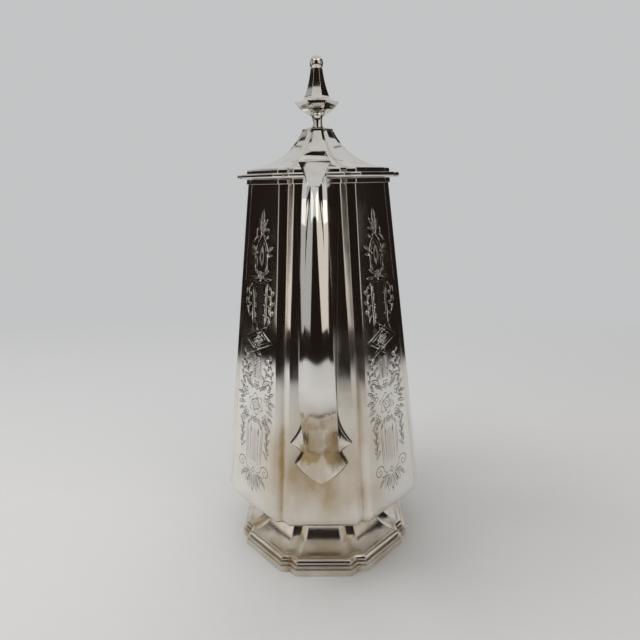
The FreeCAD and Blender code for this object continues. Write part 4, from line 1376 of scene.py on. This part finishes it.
def spout_ring(form, place, wall, soft, onward=0.0):
    """One ring of points round the spout."""
    heading = math.radians(place[2])
    ahead = Vector((math.cos(heading), 0.0, math.sin(heading)))
    over = Vector((-math.sin(heading), 0.0, math.cos(heading)))
    centre = Vector((SPOUT_ROOT_OUT + place[0], 0.0, place[1])) + ahead * onward
    return [form.verts.new((centre + over * up + Vector((0.0, side, 0.0))) * MM)
            for up, side in spout_section(place, wall, soft)]


def spout_mesh(finish):
    """The spout: an eight-sided tube that tapers and sweeps up, cut off at its panel."""
    stations = spout_stations()
    form = bmesh.new()
    rings = [spout_ring(form, place, 0.0, 0.9) for place in stations]
    lip = stations[-1]
    rings.append(spout_ring(form, lip, SPOUT_LIP_ROUND, 0.85, SPOUT_LIP_ROUND))
    rings.append(spout_ring(form, lip, SPOUT_WALL - SPOUT_LIP_ROUND, 0.6, SPOUT_LIP_ROUND))
    rings += [spout_ring(form, place, SPOUT_WALL, 0.5) for place in stations[::-1]]
    skin(form, rings)
    panel = Vector((math.cos(SIDE_ANGLE), 0.0, math.sin(SIDE_ANGLE)))
    spot = Vector((SPOUT_ROOT_OUT, 0.0, SPOUT_ROOT_UP)) * MM
    bmesh.ops.bisect_plane(form, geom=form.verts[:] + form.edges[:] + form.faces[:], dist=1e-7,
                           plane_co=spot, plane_no=panel, clear_inner=True)
    rim = [edge for edge in form.edges if edge.is_boundary]
    bmesh.ops.bridge_loops(form, edges=rim)
    return smoothed("pouring_spout", form, finish)


class COFFEEPOT_OT_spout(bpy.types.Operator):
    """Builds the spout and eases the collar at its root"""

    bl_idname = "coffeepot.spout"
    bl_label = "Spout"

    def execute(self, context):
        silver = finish_named("bright_silver")
        piece(spout_mesh(silver), "pot", "spout")
        eased_copy("spout_base_collar", "spout_collar", "pot", silver)
        return {"FINISHED"}


class COFFEEPOT_OT_inner_pieces(bpy.types.Operator):
    """Gives the pot's inner pieces and fixings their finishes"""

    bl_idname = "coffeepot.inner_pieces"
    bl_label = "Inner pieces and fixings"

    def execute(self, context):
        for finish, nodes in (
            ("stained_silver", ("body_floor", "spout_strainer", "lid_bezel")),
            ("turned_brass", ("hinge_pin", "finial_stud", "finial_washer", "finial_nut")),
        ):
            for node in nodes:
                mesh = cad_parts[node].data
                mesh.materials.clear()
                mesh.materials.append(finish_named(finish))
        return {"FINISHED"}


def finish_named(name):
    """A finish by name, made when it is first asked for."""
    finish = bpy.context.scene.pot_finish
    found = bpy.data.materials.get(name)
    if found:
        return found
    makers = {
        "bright_silver": lambda: polished_silver(name, finish, drifts=0.4, film=0.34),
        "handled_silver": lambda: polished_silver(name, finish, drifts=0.5, film=0.06),
        "graved_silver": lambda: cut_silver(name),
        "stained_silver": lambda: inner_silver(name, finish),
        "turned_brass": lambda: fixing_brass(name, finish),
    }
    return makers[name]()


def area_light(name, place, aim, size, glow, colour, mirrored):
    """A soft oblong light of an even brightness that faces a point, mirrored in the silver or not."""
    light = bpy.data.lights.new(name, "AREA")
    light.shape = "RECTANGLE"
    light.size, light.size_y = size
    light.energy = glow * math.pi * size[0] * size[1]
    light.color = colour
    made = set_down(light)
    made.location = place
    made.rotation_euler = (Vector(aim) - Vector(place)).to_track_quat("-Z", "Y").to_euler()
    made.visible_camera = False
    made.visible_glossy = mirrored


class COFFEEPOT_OT_stage(bpy.types.Operator):
    """Builds the floor, the lights, the backdrop and the camera"""

    bl_idname = "coffeepot.stage"
    bl_label = "Stage"

    def execute(self, context):
        stage = context.scene.pot_stage
        form = bmesh.new()
        bmesh.ops.create_grid(form, x_segments=1, y_segments=1, size=1.0,
                              matrix=Matrix.Diagonal((stage.floor_depth, stage.floor_width, 1.0, 1.0)))
        mesh = mesh_from("floor", form)
        mesh.materials.append(pale_floor(stage))
        floor = set_down(mesh)
        floor.location.x = stage.floor_middle

        white = (1.0, 1.0, 1.0)
        warm = (1.0, 0.93, 0.84)
        above, ahead = stage.overhead_glow, stage.front_glow
        for light in (
            ("window_light", (0.7, 1.0, 0.75), (0.7, 0.0, 0.75), (1.0, 0.9), stage.window_glow, white, True),
            ("key_light", (-0.1, 1.0, 1.25), (0.0, 0.0, 0.1), (0.8, 0.6), stage.key_glow, white, False),
            ("ceiling_light", (-0.15, 0.0, 1.2), (-0.15, 0.0, 0.0), (1.8, 1.8), above, white, True),
            ("fill_light", (0.0, 0.1, 1.3), (0.0, 0.1, 0.0), (1.3, 1.3), above * 1.3, white, False),
            ("left_light", (-0.62, 0.62, 0.68), (0.0, 0.0, 0.3), (0.7, 1.2), ahead * 0.5, white, True),
            ("right_light", (-0.62, -0.62, 0.68), (0.0, 0.0, 0.3), (0.7, 1.2), ahead * 0.8, warm, True),
            ("left_strip", (-0.115, 1.0, 0.45), (-0.115, 0.0, 0.45), (0.29, 0.9), ahead * 0.9, warm, True),
            ("right_strip", (-0.14, -1.0, 0.45), (-0.14, 0.0, 0.45), (0.24, 0.9), ahead * 0.75, warm, True),
            ("backdrop_light", (0.95, 0.0, 0.7), (0.0, 0.0, 0.7), (2.2, 1.4), stage.backdrop[1], white, True),
        ):
            area_light(*light)

        world = bpy.data.worlds.new("room")
        world.use_nodes = True
        context.scene.world = world
        graph = Graph(world.node_tree)
        sight = graph.node("ShaderNodeLightPath", output="Is Camera Ray")
        seen = graph.mixed(sight, stage.room, stage.backdrop)
        graph.feed(world.node_tree.nodes["Background"].inputs["Color"], seen)

        lens = bpy.data.cameras.new("camera")
        lens.sensor_width = SENSOR_WIDTH
        lens.lens = FOCAL_LENGTH * SENSOR_WIDTH / PICTURE_WIDTH
        lens.shift_x = PICTURE_SHIFT / PICTURE_WIDTH
        lens.clip_start = 0.01
        camera = set_down(lens)
        camera.location = CAMERA_PLACE
        turned = Euler((math.radians(90.0 - CAMERA_TILT), 0.0, math.radians(CAMERA_TURN - 90.0)), "XYZ")
        rolled = turned.to_matrix() @ Matrix.Rotation(math.radians(CAMERA_ROLL), 3, "Z")
        camera.rotation_euler = rolled.to_euler()
        context.scene.camera = camera
        context.scene.view_settings.view_transform = "Standard"
        return {"FINISHED"}


class COFFEEPOT_PT_pieces(bpy.types.Panel):
    """Lists the pot's pieces and settings"""

    bl_idname = "COFFEEPOT_PT_pieces"
    bl_label = "Coffee pot"
    bl_space_type = "VIEW_3D"
    bl_region_type = "UI"
    bl_category = "Coffee pot"

    def draw(self, context):
        for step in STEPS:
            self.layout.operator(step.bl_idname)
        for group in (context.scene.pot_work, context.scene.pot_finish, context.scene.pot_stage):
            box = self.layout.box()
            for name in group.bl_rna.properties.keys():
                if name not in ("rna_type", "name"):
                    box.prop(group, name)


STEPS = (
    COFFEEPOT_OT_foot,
    COFFEEPOT_OT_body,
    COFFEEPOT_OT_lid,
    COFFEEPOT_OT_finial,
    COFFEEPOT_OT_handle,
    COFFEEPOT_OT_hinge,
    COFFEEPOT_OT_spout,
    COFFEEPOT_OT_inner_pieces,
    COFFEEPOT_OT_stage,
)
GROUPS = {"pot_work": PotWork, "pot_finish": PotFinish, "pot_stage": PotStage}


def register():
    for made in (*GROUPS.values(), *STEPS, COFFEEPOT_PT_pieces):
        bpy.utils.register_class(made)
    for name, group in GROUPS.items():
        setattr(bpy.types.Scene, name, bpy.props.PointerProperty(type=group))


def unregister():
    for name in GROUPS:
        delattr(bpy.types.Scene, name)
    for made in (COFFEEPOT_PT_pieces, *STEPS[::-1], *GROUPS.values()):
        bpy.utils.unregister_class(made)


def main():
    register()
    for step in STEPS:
        family, name = step.bl_idname.split(".")
        getattr(getattr(bpy.ops, family), name)()


if __name__ == "__main__":
    main()
